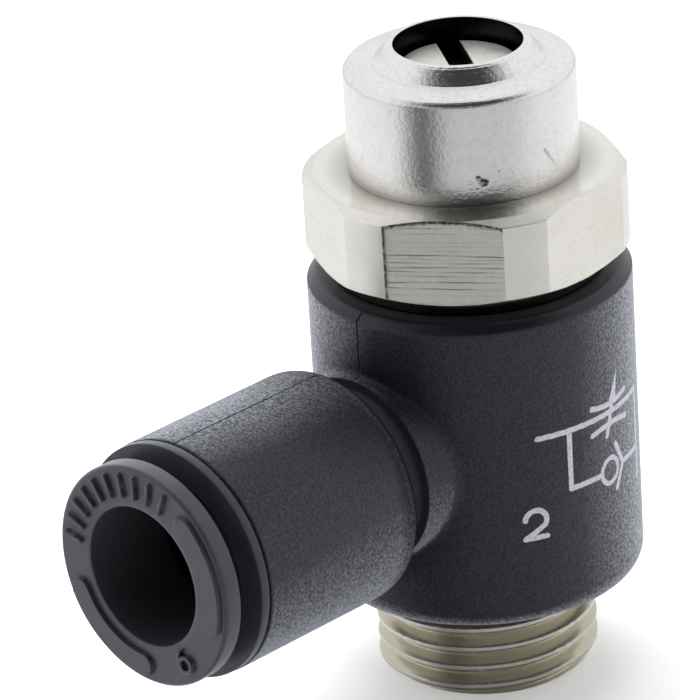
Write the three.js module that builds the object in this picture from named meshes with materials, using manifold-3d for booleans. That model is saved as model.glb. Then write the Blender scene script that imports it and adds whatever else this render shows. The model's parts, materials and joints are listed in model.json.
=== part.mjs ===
// Compact banjo flow control valve: a swivelling polymer elbow with a 6 mm push-in tube
// fitting, held on a G1/8 banjo bolt, with a slotted needle spindle recessed in a hood.
// Millimetres. Parts are drawn round the bolt's axis, with z = 0 where the body seats on
// the port. +Z runs up to the spindle, the thread points to -Z and the tube leaves along
// -Y. The whole valve is then moved so that its origin lies on the seat's flat ring.
import * as THREE from "three";
import { mergeVertices } from "three/addons/utils/BufferGeometryUtils.js";
import Module from "manifold-3d";

const wasm = await Module();
wasm.setup();

// From the bolt's axis to the origin, a point in the middle of the seat's flat ring
const SEAT_POINT_R = 5.75;

// Port thread, G1/8
const THREAD_R = 4.864;
const THREAD_ROOT_R = 4.283;
const THREAD_PITCH = 0.907;
const THREAD_START = THREE.MathUtils.degToRad(189);
const THREAD_END = -4.5;
const THREAD_TOP = -0.45;
const UNDERCUT_R = 4.2;
const THREAD_LEAD_IN = { deep: 0.72, long: 0.55 };
const THREAD_RUN_OUT = 0.25;

// Valve body
const BODY_R = 7.05;
const BODY_TOP = 14.45;
const BODY_FOOT_FILLET = 1.0;
const BODY_TOP_CHAMFER = 0.4;
const SEAL_RECESS_R = 5.45;
const SEAL_RECESS_DEPTH = 0.9;
const LOWER_BORE_R = 4.95;
const LOWER_BORE_TOP = 2.7;
const UPPER_BORE_R = 5.55;
const UPPER_BORE_CHAMFER = 0.3;

// Side barrel and its boss; the barrel's axis is at BARREL_Z and runs along -Y
const BARREL_Z = 7.3;
const BARREL_R = 5.25;
const BARREL_FRONT = -18.05;
const BARREL_REAR = -8.8;
const BARREL_REAR_ROUND = 1.05;
const BARREL_FRONT_EDGE = 0.12;
const NECK_R = 3.75;
const BOSS_R = 4.2;
const BOSS_FRONT = -7.5;
const BOSS_END = -3;
const TUBE_BORE_R = 3.08;
const TUBE_STOP = -7.6;
const SEAL_BORE_R = 4.1;
const SEAL_BORE_END = -12.6;
const CARTRIDGE_BORE_R = 4.6;
const CARTRIDGE_BORE_END = -14.3;
const PASSAGE_R = 2.0;
const PASSAGE_Z = 8.4;
const PASSAGE_LENGTH = 6;

// Banjo bolt
const STEM_LAND_R = 4.85;
const STEM_WAIST_R = 4.2;
const LOWER_GROOVE = { low: 1.05, high: 2.35, r: 3.75 };
const LIP_GROOVE = { low: 4.4, high: 5.8, r: 3.9 };
const UPPER_GROOVE = { low: 11.7, high: 13.1, r: 4.35 };
const GROOVE_WALL = 0.3;
const UPPER_LAND_R = 5.45;
const COLLAR_R = 5.9;
const COLLAR_BOTTOM = BODY_TOP + 0.06;
const HEX_BOTTOM = 15.2;
const HEX_TOP = 19.1;
const HEX_FLATS = 13.0;
const HEX_CORNER_R = 7.0;
const HEX_CHAMFER = THREE.MathUtils.degToRad(30);
const HEX_TURN = THREE.MathUtils.degToRad(34.6);
const SPIGOT_R = 4.2;
const SPIGOT_TOP = 22.4;
const PORT_BORE_R = 2.5;
const PORT_BORE_CHAMFER = 0.4;
const SEAT_BOTTOM = 6.6;
const SEAT_TOP = 7.8;
const SEAT_R = 1.6;
const SPINDLE_BORE_R = 2.05;
const SPINDLE_THREAD_BORE = 15.4;
const SPINDLE_THREAD_BORE_R = 3.3;
const LOWER_PORTS = { z: 3.4, r: 0.65 };
const UPPER_PORTS = { z: 9.3, r: 0.9 };
const JOIN = 0.2;

// Hood over the spindle
const HOOD_R = 5.0;
const HOOD_BOTTOM = HEX_TOP + 0.03;
const HOOD_SHOULDER = 23.8;
const HOOD_SHOULDER_ROUND = 0.4;
const HOOD_INNER_R = 4.25;
const HOOD_CEILING = 23.0;
const HOOD_OPENING_R = 2.78;
const HOOD_RIM = 24.67;
const HOOD_RIM_R = 2.95;
const HOOD_RIM_FOOT_R = 3.7;
const HOOD_RIM_EDGE = 0.06;
const HOOD_FOOT_EDGE = 0.12;

// Needle spindle, shown fully open
const SPINDLE_TRAVEL = 3.5;
const SPINDLE_HEAD_TOP = 23.79;
const SPINDLE_HEAD_R = 2.65;
const SPINDLE_HEAD_ROUND = 0.6;
const SPINDLE_THREAD_TOP = 22.9;
const SPINDLE_THREAD_BOTTOM = 19.0;
const SPINDLE_THREAD_R = 3.2;
const SPINDLE_THREAD_ROOT_R = 2.9;
const SPINDLE_PITCH = 0.5;
const SPINDLE_THREAD_LEAD = 0.3;
const SPINDLE_STEM_R = 1.95;
const NEEDLE_BASE = SEAT_TOP + SPINDLE_TRAVEL;
const NEEDLE_TIP = 8.0;
const NEEDLE_TIP_R = 0.35;
const NEEDLE_R = 1.5;
const SPINDLE_GROOVE = { low: 14.2, high: 15.2, r: 1.2 };
const SLOT_WIDTH = 1.05;
const SLOT_DEPTH = 1.1;
const SLOT_TURN = THREE.MathUtils.degToRad(55.3 - 90);

// Push-in cartridge and release button
const RING_R = 5.21;
const RING_REAR = BARREL_FRONT - 0.08;
const RING_FRONT = RING_REAR - 0.44;
const RING_EDGE = 0.1;
const CARTRIDGE_R = 4.55;
const CARTRIDGE_REAR = -14.9;
const CARTRIDGE_LIP_R = 3.9;
const CARTRIDGE_LIP_REAR = -17.3;
const CARTRIDGE_INNER_R = 4.2;
const CARTRIDGE_GRIP_SEAT = { r: 4.25, inner: 3.95, front: -15.3 };
const BUTTON_FACE = -20.57;
const BUTTON_FLANGE_REAR = -19.5;
const BUTTON_R = 4.92;
const BUTTON_FACE_R = 4.74;
const BUTTON_NECK_R = 3.8;
const BUTTON_BARB_R = 4.08;
const BUTTON_BARB_FRONT = -17.2;
const BUTTON_BARB_LENGTH = 0.4;
const BUTTON_NOSE = -16.1;
const BUTTON_NOSE_R = 3.5;
const BUTTON_BORE_R = 3.1;
const BUTTON_ENTRY = 0.2;

// Seals and the gripping ring, at their free size
const UPPER_O_RING = { inner: 4.4, section: 1.1 };
const LOWER_O_RING = { inner: 3.8, section: 1.1 };
const SPINDLE_O_RING = { inner: 1.25, section: 0.75 };
const TUBE_O_RING = { inner: 3.0, section: 1.05 };
const TUBE_O_RING_Y = -13.2;
const LIP_SEAL = { inner: 3.95, base: 4.75, lip: 5.5, thick: 0.25, gap: 0.1 };
const PORT_SEAL = { gap: 0.08, proud: 0.18, top: 0.72 };
const BACKUP_RING = { inner: 3.2, outer: 4.0, flange: 4.5, front: -14.75, step: -14.4, rear: -13.75 };
const GRIP_RING = { bite: 2.9, bend: 3.6, outer: 4.1, front: -15.2, thick: 0.18, lean: 0.32 };
const GRIP_TEETH = 8;
const GRIP_SLIT = 0.35;

const BODY_STEPS = 48;
const TURN_STEPS = 32;
const SMALL_STEPS = 24;
const SPINDLE_STEPS = 16;

function paint(color, roughness, metalness) {
  return new THREE.MeshStandardMaterial({ color, roughness, metalness });
}

const NICKEL = [0xcdcac2, 0.28, 1.0];
const HOOD_NICKEL = [0xc6c5c0, 0.22, 1.0];
const BLACK_POLYMER = [0x35363c, 0.55, 0.0];
const BUTTON_POLYMER = [0x54565c, 0.42, 0.0];
const RING_POLYMER = [0x6b6d70, 0.4, 0.0];
const NITRILE = [0x19191b, 0.7, 0.0];
const SPRING_STEEL = [0xb9bbbe, 0.3, 1.0];
const ACETAL = [0xd9d6cc, 0.5, 0.0];

// A closed geometry as a solid, its triangles turned outward if they face inward
function solid(geometry) {
  geometry.deleteAttribute("normal");
  geometry.deleteAttribute("uv");
  const merged = mergeVertices(geometry, 1e-4);
  const places = merged.attributes.position.array;
  const corners = [];
  let volume = 0;
  const a = new THREE.Vector3();
  const b = new THREE.Vector3();
  const c = new THREE.Vector3();
  for (let i = 0; i < merged.index.count; i += 3) {
    const triangle = [0, 1, 2].map((k) => merged.index.getX(i + k));
    if (new Set(triangle).size < 3) continue;
    corners.push(triangle);
    a.fromArray(places, 3 * triangle[0]);
    b.fromArray(places, 3 * triangle[1]);
    c.fromArray(places, 3 * triangle[2]);
    volume += a.dot(b.cross(c));
  }
  const outward = volume < 0 ? corners.map(([p, q, r]) => [p, r, q]) : corners;
  return new wasm.Manifold(new wasm.Mesh({
    numProp: 3,
    vertProperties: new Float32Array(places),
    triVerts: new Uint32Array(outward.flat()),
  }));
}

// Points of an arc in a profile, from one angle to another, in degrees
function arc(r, y, radius, from, to, steps = 5) {
  const points = [];
  for (let i = 0; i <= steps; i += 1) {
    const angle = THREE.MathUtils.degToRad(from + ((to - from) * i) / steps);
    points.push([r + radius * Math.cos(angle), y + radius * Math.sin(angle)]);
  }
  return points;
}

// A profile of [radius, height] points turned about the Y axis
function turnedY(profile, steps = TURN_STEPS) {
  const points = profile.map(([r, y]) => new THREE.Vector2(r, y));
  const ends = [profile[0], profile[profile.length - 1]];
  if (ends.some(([r]) => r > 0)) points.push(points[0].clone());
  return new THREE.LatheGeometry(points, steps);
}

// The same profile turned about the bolt's axis
function turnedZ(profile, steps = TURN_STEPS) {
  return turnedY(profile, steps).rotateX(Math.PI / 2);
}

// The same profile turned about the barrel's axis; heights are places along Y
function turnedBarrel(profile, steps = TURN_STEPS) {
  return turnedY(profile, steps).translate(0, 0, BARREL_Z);
}

function post(radius, low, high) {
  return [[0, low], [radius, low], [radius, high], [0, high]];
}

function roundSection({ inner, section }, y, steps = 8) {
  return arc(inner + section / 2, y, section / 2, 0, 360 - 360 / steps, steps - 1);
}

// A helical bar of one crest and one root to the pitch, longer than low..high at both ends
function helicalBar(crest, root, pitch, low, high, steps) {
  const section = [[-0.07, crest], [0.07, crest], [0.43, root], [0.57, root]];
  const turns = Math.ceil((high - low) / pitch) + 2;
  const rows = turns * section.length;
  const places = [];
  const at = (row, step) => (step < steps ? row * steps + step : (row + section.length) * steps);
  for (let row = 0; row <= rows + section.length; row += 1) {
    const [part, radius] = section[row % section.length];
    for (let step = 0; step < steps; step += 1) {
      const angle = (2 * Math.PI * step) / steps;
      const lift = Math.floor(row / section.length) + part + step / steps - 1.5;
      places.push(radius * Math.cos(angle), radius * Math.sin(angle), low + pitch * lift);
    }
  }
  const bottom = places.length / 3;
  places.push(0, 0, low - 1.5 * pitch);
  places.push(0, 0, low + pitch * (turns - 0.5));
  const corners = [];
  for (let step = 0; step < steps; step += 1) {
    for (let row = 0; row < rows; row += 1) {
      const [p, q] = [at(row, step), at(row, step + 1)];
      const [s, t] = [at(row + 1, step), at(row + 1, step + 1)];
      corners.push(p, q, t, p, t, s);
    }
    corners.push(bottom, at(0, step + 1), at(0, step));
    corners.push(bottom + 1, at(rows, step), at(rows, step + 1));
  }
  for (let row = 0; row < section.length; row += 1) {
    corners.push(bottom, at(row, 0), at(row + 1, 0));
    corners.push(bottom + 1, at(rows + row + 1, 0), at(rows + row, 0));
  }
  const geometry = new THREE.BufferGeometry();
  geometry.setAttribute("position", new THREE.Float32BufferAttribute(places, 3));
  geometry.setIndex(corners);
  return geometry;
}

// A thread cut from a blank whose profile sets its ends
function threaded(bar, blank, steps) {
  return solid(bar).intersect(solid(turnedZ(blank, steps)));
}

// Straight holes across the bolt, on two crossing lines
function crossPorts({ z, r }) {
  const hole = () => new THREE.CylinderGeometry(r, r, 2 * UPPER_LAND_R, 20);
  const along = solid(hole().translate(0, 0, z));
  return along.add(solid(hole().rotateZ(Math.PI / 2).translate(0, 0, z)));
}

function hexagon() {
  const across = HEX_FLATS / Math.sqrt(3);
  const prism = new THREE.CylinderGeometry(across, across, HEX_TOP - HEX_BOTTOM, 6);
  prism.rotateX(Math.PI / 2);
  prism.rotateZ(HEX_TURN + Math.PI / 6);
  prism.translate(0, 0, (HEX_TOP + HEX_BOTTOM) / 2);
  const flat = HEX_FLATS / 2;
  const drop = (HEX_CORNER_R - flat) * Math.tan(HEX_CHAMFER);
  const blank = [
    [0, HEX_BOTTOM],
    [flat, HEX_BOTTOM],
    [HEX_CORNER_R, HEX_BOTTOM + drop],
    [HEX_CORNER_R, HEX_TOP - drop],
    [flat, HEX_TOP],
    [0, HEX_TOP],
  ];
  return solid(prism).intersect(solid(turnedZ(blank, 2 * TURN_STEPS)));
}

// A square groove in a turned stem, from its low wall to its high wall
function groove({ low, high, r }, land) {
  return [[land, low], [r, low], [r, high], [land, high]];
}

function boltStem() {
  return [
    [0, THREAD_TOP - 2 * JOIN],
    [UNDERCUT_R, THREAD_TOP - 2 * JOIN],
    [UNDERCUT_R, LOWER_GROOVE.low - GROOVE_WALL],
    [STEM_LAND_R, LOWER_GROOVE.low - GROOVE_WALL],
    ...groove(LOWER_GROOVE, STEM_LAND_R),
    [STEM_LAND_R, LOWER_BORE_TOP],
    [STEM_WAIST_R, LOWER_BORE_TOP],
    [STEM_WAIST_R, LIP_GROOVE.low - GROOVE_WALL],
    [STEM_LAND_R, LIP_GROOVE.low - GROOVE_WALL],
    ...groove(LIP_GROOVE, STEM_LAND_R),
    [STEM_LAND_R, LIP_GROOVE.high + GROOVE_WALL],
    [STEM_WAIST_R, LIP_GROOVE.high + 2 * GROOVE_WALL],
    [STEM_WAIST_R, UPPER_GROOVE.low - 3 * GROOVE_WALL],
    [UPPER_LAND_R, UPPER_GROOVE.low - GROOVE_WALL],
    ...groove(UPPER_GROOVE, UPPER_LAND_R),
    [UPPER_LAND_R, COLLAR_BOTTOM],
    [COLLAR_R, COLLAR_BOTTOM],
    [COLLAR_R, HEX_BOTTOM + JOIN],
    [0, HEX_BOTTOM + JOIN],
  ];
}

function banjoBolt() {
  const threadBlank = [
    [0, THREAD_END],
    [THREAD_R - THREAD_LEAD_IN.deep, THREAD_END],
    [THREAD_R, THREAD_END + THREAD_LEAD_IN.long],
    [THREAD_R, THREAD_TOP - THREAD_RUN_OUT],
    [THREAD_ROOT_R, THREAD_TOP],
    [0, THREAD_TOP],
  ];
  const inside = [
    [0, THREAD_END - 1],
    [PORT_BORE_R + 1 + PORT_BORE_CHAMFER, THREAD_END - 1],
    [PORT_BORE_R, THREAD_END + PORT_BORE_CHAMFER],
    [PORT_BORE_R, SEAT_BOTTOM - PORT_BORE_R + SEAT_R],
    [SEAT_R, SEAT_BOTTOM],
    [SEAT_R, SEAT_TOP],
    [SPINDLE_BORE_R, SEAT_TOP + JOIN],
    [SPINDLE_BORE_R, SPINDLE_THREAD_BORE - 0.5],
    [SPINDLE_THREAD_BORE_R, SPINDLE_THREAD_BORE],
    [SPINDLE_THREAD_BORE_R, SPIGOT_TOP + 1],
    [0, SPIGOT_TOP + 1],
  ];
  const bar = helicalBar(
    THREAD_R, THREAD_ROOT_R, THREAD_PITCH, THREAD_END, THREAD_TOP, TURN_STEPS,
  ).rotateZ(THREAD_START);
  return threaded(bar, threadBlank, TURN_STEPS)
    .add(solid(turnedZ(boltStem())))
    .add(hexagon())
    .add(solid(turnedZ(post(SPIGOT_R, HEX_TOP - JOIN, SPIGOT_TOP))))
    .subtract(solid(turnedZ(inside)))
    .subtract(crossPorts(LOWER_PORTS))
    .subtract(crossPorts(UPPER_PORTS));
}

function retainingHood() {
  const roundR = HOOD_R - HOOD_SHOULDER_ROUND;
  const roundZ = HOOD_SHOULDER - HOOD_SHOULDER_ROUND;
  const rimWall = HOOD_RIM_FOOT_R - HOOD_RIM_R;
  const section = [
    [HOOD_INNER_R, HOOD_BOTTOM],
    [HOOD_R - HOOD_FOOT_EDGE, HOOD_BOTTOM],
    [HOOD_R, HOOD_BOTTOM + HOOD_FOOT_EDGE],
    ...arc(roundR, roundZ, HOOD_SHOULDER_ROUND, 0, 90),
    [HOOD_RIM_FOOT_R, HOOD_SHOULDER],
    [HOOD_RIM_R + rimWall / 2, HOOD_SHOULDER + 0.25 * (HOOD_RIM - HOOD_SHOULDER)],
    [HOOD_RIM_R + rimWall / 8, HOOD_RIM - HOOD_RIM_EDGE],
    [HOOD_RIM_R, HOOD_RIM],
    [HOOD_OPENING_R + HOOD_RIM_EDGE, HOOD_RIM],
    [HOOD_OPENING_R, HOOD_RIM - HOOD_RIM_EDGE],
    [HOOD_OPENING_R, HOOD_CEILING],
    [HOOD_INNER_R, HOOD_CEILING],
  ];
  return solid(turnedZ(section, BODY_STEPS));
}

function spindleHead() {
  const roundR = SPINDLE_HEAD_R - SPINDLE_HEAD_ROUND;
  const roundZ = SPINDLE_HEAD_TOP - SPINDLE_HEAD_ROUND;
  const head = [
    [0, SPINDLE_THREAD_TOP - JOIN],
    [SPINDLE_HEAD_R, SPINDLE_THREAD_TOP - JOIN],
    ...arc(roundR, roundZ, SPINDLE_HEAD_ROUND, 0, 90),
    [0, SPINDLE_HEAD_TOP],
  ];
  const slot = new THREE.BoxGeometry(4 * SPINDLE_HEAD_R, SLOT_WIDTH, 2 * SLOT_DEPTH);
  slot.rotateZ(SLOT_TURN);
  slot.translate(0, 0, SPINDLE_HEAD_TOP);
  return solid(turnedZ(head)).subtract(solid(slot));
}

function adjustingSpindle() {
  const stem = [
    [0, NEEDLE_TIP],
    [NEEDLE_TIP_R, NEEDLE_TIP],
    [NEEDLE_R, NEEDLE_BASE],
    [NEEDLE_R, SPINDLE_GROOVE.low - 3 * GROOVE_WALL],
    [SPINDLE_STEM_R, SPINDLE_GROOVE.low - 2 * GROOVE_WALL],
    ...groove(SPINDLE_GROOVE, SPINDLE_STEM_R),
    [SPINDLE_STEM_R, SPINDLE_THREAD_BOTTOM + JOIN],
    [0, SPINDLE_THREAD_BOTTOM + JOIN],
  ];
  const threadBlank = [
    [0, SPINDLE_THREAD_BOTTOM],
    [SPINDLE_THREAD_ROOT_R, SPINDLE_THREAD_BOTTOM],
    [SPINDLE_THREAD_R, SPINDLE_THREAD_BOTTOM + SPINDLE_THREAD_LEAD],
    [SPINDLE_THREAD_R, SPINDLE_THREAD_TOP - SPINDLE_THREAD_LEAD],
    [SPINDLE_THREAD_ROOT_R, SPINDLE_THREAD_TOP],
    [0, SPINDLE_THREAD_TOP],
  ];
  const bar = helicalBar(
    SPINDLE_THREAD_R, SPINDLE_THREAD_ROOT_R, SPINDLE_PITCH,
    SPINDLE_THREAD_BOTTOM, SPINDLE_THREAD_TOP, SPINDLE_STEPS,
  );
  return threaded(bar, threadBlank, SPINDLE_STEPS)
    .add(solid(turnedZ(stem, SPINDLE_STEPS)))
    .add(spindleHead());
}

function bodyShell() {
  const column = [
    [0, 0],
    ...arc(BODY_R - BODY_FOOT_FILLET, BODY_FOOT_FILLET, BODY_FOOT_FILLET, -90, 0, 6),
    [BODY_R, BODY_TOP - BODY_TOP_CHAMFER],
    [BODY_R - BODY_TOP_CHAMFER, BODY_TOP],
    [0, BODY_TOP],
  ];
  const barrel = [
    [0, BARREL_FRONT],
    [BARREL_R - BARREL_FRONT_EDGE, BARREL_FRONT],
    [BARREL_R, BARREL_FRONT + BARREL_FRONT_EDGE],
    ...arc(BARREL_R - BARREL_REAR_ROUND, BARREL_REAR - BARREL_REAR_ROUND,
      BARREL_REAR_ROUND, 0, 90),
    [NECK_R, BARREL_REAR],
    [NECK_R, BOSS_FRONT],
    [BOSS_R, BOSS_FRONT],
    [BOSS_R, BOSS_END],
    [0, BOSS_END],
  ];
  return solid(turnedZ(column, BODY_STEPS)).add(solid(turnedBarrel(barrel, BODY_STEPS)));
}

function valveBody() {
  const stemBore = [
    [0, -1],
    [SEAL_RECESS_R, -1],
    [SEAL_RECESS_R, SEAL_RECESS_DEPTH],
    [LOWER_BORE_R, SEAL_RECESS_DEPTH],
    [LOWER_BORE_R, LOWER_BORE_TOP],
    [UPPER_BORE_R, LOWER_BORE_TOP + UPPER_BORE_R - LOWER_BORE_R],
    [UPPER_BORE_R, BODY_TOP - UPPER_BORE_CHAMFER],
    [UPPER_BORE_R + UPPER_BORE_CHAMFER, BODY_TOP],
    [UPPER_BORE_R + UPPER_BORE_CHAMFER, BODY_TOP + 1],
    [0, BODY_TOP + 1],
  ];
  const socket = [
    [0, TUBE_STOP],
    [TUBE_BORE_R, TUBE_STOP],
    [TUBE_BORE_R, SEAL_BORE_END],
    [SEAL_BORE_R, SEAL_BORE_END],
    [SEAL_BORE_R, CARTRIDGE_BORE_END],
    [CARTRIDGE_BORE_R, CARTRIDGE_BORE_END],
    [CARTRIDGE_BORE_R, BARREL_FRONT - 1],
    [0, BARREL_FRONT - 1],
  ];
  const passage = new THREE.CylinderGeometry(PASSAGE_R, PASSAGE_R, PASSAGE_LENGTH, TURN_STEPS);
  passage.translate(0, TUBE_STOP - 1 + PASSAGE_LENGTH / 2, PASSAGE_Z);
  return bodyShell()
    .subtract(solid(turnedZ(stemBore)))
    .subtract(solid(turnedBarrel(socket)))
    .subtract(solid(passage));
}

// A cup seal whose lip leans outward and up to the bore's wall
function lipSeal() {
  const { inner, base, lip, thick, gap } = LIP_SEAL;
  const low = LIP_GROOVE.low + gap;
  const high = LIP_GROOVE.high - gap;
  return solid(turnedZ([
    [inner, low],
    [base, low],
    [lip, high - thick],
    [lip, high + gap / 2],
    [lip - thick, high + gap / 2],
    [base - thick, low + 2 * thick],
    [inner + 2 * thick, high],
    [inner, high],
  ], SMALL_STEPS));
}

function portSeal() {
  const inner = UNDERCUT_R + PORT_SEAL.gap;
  const outer = SEAL_RECESS_R - PORT_SEAL.gap;
  return solid(turnedZ([
    [inner, 0],
    [inner + 2 * PORT_SEAL.proud, -PORT_SEAL.proud],
    [outer - PORT_SEAL.proud, -PORT_SEAL.proud],
    [outer, 0],
    [outer, PORT_SEAL.top],
    [inner, PORT_SEAL.top],
  ], SMALL_STEPS));
}

// An O-ring lying in a groove of the bolt or the spindle
function oRing(size, { low, high }) {
  return solid(turnedZ(roundSection(size, (low + high) / 2), SMALL_STEPS));
}

function tubeSeal() {
  return solid(turnedBarrel(roundSection(TUBE_O_RING, TUBE_O_RING_Y), SMALL_STEPS));
}

function backupRing() {
  const { inner, outer, flange, front, step, rear } = BACKUP_RING;
  return solid(turnedBarrel([
    [inner, front],
    [flange, front],
    [flange, step],
    [outer, step],
    [outer, rear],
    [inner, rear],
  ], SMALL_STEPS));
}

// A dished steel ring whose inner edge is slit into teeth that lean into the tube
function grippingRing() {
  const { bite, bend, outer, front, thick, lean } = GRIP_RING;
  let ring = solid(turnedBarrel([
    [bite, front + lean],
    [bend, front],
    [outer, front],
    [outer, front + thick],
    [bend + thick / 4, front + thick],
    [bite + thick / 2, front + thick + lean * 0.75],
  ], BODY_STEPS));
  for (let i = 0; i < GRIP_TEETH; i += 1) {
    const slit = new THREE.BoxGeometry(2 * (bend - bite), 4 * lean, GRIP_SLIT);
    slit.translate(bite, front, 0);
    slit.rotateY((2 * Math.PI * i) / GRIP_TEETH);
    slit.translate(0, 0, BARREL_Z);
    ring = ring.subtract(solid(slit));
  }
  return ring;
}

function cartridgeSleeve() {
  const seat = CARTRIDGE_GRIP_SEAT;
  return solid(turnedBarrel([
    [CARTRIDGE_LIP_R, RING_FRONT],
    [RING_R - RING_EDGE, RING_FRONT],
    [RING_R, RING_FRONT + RING_EDGE],
    [RING_R, RING_REAR],
    [CARTRIDGE_R, RING_REAR],
    [CARTRIDGE_R, CARTRIDGE_REAR],
    [seat.r, CARTRIDGE_REAR],
    [seat.r, seat.front],
    [seat.inner, seat.front],
    [CARTRIDGE_INNER_R, seat.front + seat.inner - CARTRIDGE_INNER_R],
    [CARTRIDGE_INNER_R, CARTRIDGE_LIP_REAR],
    [CARTRIDGE_LIP_R, CARTRIDGE_LIP_REAR],
  ], BODY_STEPS));
}

function releaseButton() {
  return solid(turnedBarrel([
    [BUTTON_BORE_R + BUTTON_ENTRY, BUTTON_FACE],
    [BUTTON_FACE_R, BUTTON_FACE],
    [BUTTON_R, BUTTON_FACE + BUTTON_ENTRY],
    [BUTTON_R, BUTTON_FLANGE_REAR],
    [BUTTON_NECK_R, BUTTON_FLANGE_REAR],
    [BUTTON_NECK_R, BUTTON_BARB_FRONT],
    [BUTTON_BARB_R, BUTTON_BARB_FRONT],
    [BUTTON_NECK_R, BUTTON_BARB_FRONT + BUTTON_BARB_LENGTH],
    [BUTTON_NOSE_R, BUTTON_NOSE],
    [BUTTON_BORE_R, BUTTON_NOSE],
    [BUTTON_BORE_R, BUTTON_FACE + BUTTON_ENTRY],
  ], BODY_STEPS));
}

const valve = new THREE.Group();
valve.position.y = SEAT_POINT_R;

function place(name, shape, look) {
  const { vertProperties, triVerts } = shape.getMesh();
  const geometry = new THREE.BufferGeometry();
  geometry.setAttribute("position", new THREE.BufferAttribute(vertProperties, 3));
  geometry.setIndex(new THREE.BufferAttribute(triVerts, 1));
  const mesh = new THREE.Mesh(geometry, paint(...look));
  mesh.name = name;
  valve.add(mesh);
}

place("banjo_bolt", banjoBolt(), NICKEL);
place("retaining_hood", retainingHood(), HOOD_NICKEL);
place("upper_stem_o_ring", oRing(UPPER_O_RING, UPPER_GROOVE), NITRILE);
place("lower_stem_o_ring", oRing(LOWER_O_RING, LOWER_GROOVE), NITRILE);
place("check_lip_seal", lipSeal(), NITRILE);
place("adjusting_spindle", adjustingSpindle(), NICKEL);
place("spindle_o_ring", oRing(SPINDLE_O_RING, SPINDLE_GROOVE), NITRILE);
place("valve_body", valveBody(), BLACK_POLYMER);
place("port_seal", portSeal(), NITRILE);
place("tube_seal", tubeSeal(), NITRILE);
place("backup_ring", backupRing(), ACETAL);
place("gripping_ring", grippingRing(), SPRING_STEEL);
place("cartridge_sleeve", cartridgeSleeve(), RING_POLYMER);
place("release_button", releaseButton(), BUTTON_POLYMER);

export default valve;
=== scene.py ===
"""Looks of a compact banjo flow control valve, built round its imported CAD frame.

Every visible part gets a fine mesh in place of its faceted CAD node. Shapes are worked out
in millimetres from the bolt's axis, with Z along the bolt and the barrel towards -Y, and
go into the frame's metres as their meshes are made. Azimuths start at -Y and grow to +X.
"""
import json
from functools import reduce
from math import acos, asin, ceil, cos, pi, radians, sin, tan

import bmesh
import bpy
import numpy as np
from mathutils import Matrix, Vector


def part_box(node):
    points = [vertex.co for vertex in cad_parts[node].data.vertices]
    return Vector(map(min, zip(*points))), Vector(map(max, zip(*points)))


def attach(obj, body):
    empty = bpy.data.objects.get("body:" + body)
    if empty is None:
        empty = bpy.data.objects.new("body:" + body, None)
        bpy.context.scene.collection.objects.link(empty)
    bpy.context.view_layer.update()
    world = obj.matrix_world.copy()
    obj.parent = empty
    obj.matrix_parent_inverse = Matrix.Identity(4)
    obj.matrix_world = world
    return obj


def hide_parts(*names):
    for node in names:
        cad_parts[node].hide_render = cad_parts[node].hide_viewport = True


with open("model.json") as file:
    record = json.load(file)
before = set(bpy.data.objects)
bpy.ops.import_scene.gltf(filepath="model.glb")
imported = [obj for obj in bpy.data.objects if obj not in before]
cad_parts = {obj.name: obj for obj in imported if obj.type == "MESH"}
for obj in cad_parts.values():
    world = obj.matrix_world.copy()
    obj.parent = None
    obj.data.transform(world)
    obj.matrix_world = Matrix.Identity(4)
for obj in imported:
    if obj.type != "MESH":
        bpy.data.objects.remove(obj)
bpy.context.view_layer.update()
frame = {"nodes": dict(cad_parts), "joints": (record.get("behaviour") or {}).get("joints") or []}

MM = 0.001
JOINTS = {joint["name"]: joint for joint in frame["joints"]}
AXIS_Y = JOINTS["elbow_swivel"]["pos_m"][1] / MM


def extent(node):
    """Lowest and highest corner of a CAD node, in millimetres from the bolt's axis."""
    low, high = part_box(node)
    shift = Vector((0, AXIS_Y, 0))
    return low / MM - shift, high / MM - shift


BODY_LOW, BODY_HIGH = extent("valve_body")
BOLT_LOW, BOLT_HIGH = extent("banjo_bolt")
HOOD_LOW, HOOD_HIGH = extent("retaining_hood")
SPINDLE_LOW, SPINDLE_HIGH = extent("adjusting_spindle")
RING_LOW, RING_HIGH = extent("cartridge_sleeve")
BUTTON_LOW, BUTTON_HIGH = extent("release_button")

# Valve body
BODY_R = BODY_HIGH.x
BODY_TOP = BODY_HIGH.z
BODY_FOOT_FILLET = 1.0
BODY_TOP_CHAMFER = 0.4
SEAL_RECESS = (5.45, 0.9)
LOWER_BORE = (4.95, 2.7)
UPPER_BORE_R = 5.55
WINDOW_ROWS = 12

# Side barrel
BARREL_Z = (RING_LOW.z + RING_HIGH.z) / 2
BARREL_R = 5.25
BARREL_FRONT = BODY_LOW.y
BARREL_REAR = -8.8
BARREL_REAR_ROUND = 0.95
NECK_R = 3.75
BOSS_R = 4.2
BOSS_FRONT = -7.5
BOSS_FILLET = 0.32
FILLET_STEPS = 8
TUBE_BORE_R = 3.08
TUBE_STOP = -7.6
SEAL_BORE = (4.1, -12.6)
CARTRIDGE_BORE = (4.6, -14.3)
PASSAGE_R = 1.9
PASSAGE_Z = 8.4

# Parting line of the mould, along the plane x = 0
SEAM_HALF_WIDTH = 0.042
SEAM_DEPTH = 0.075

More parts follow.
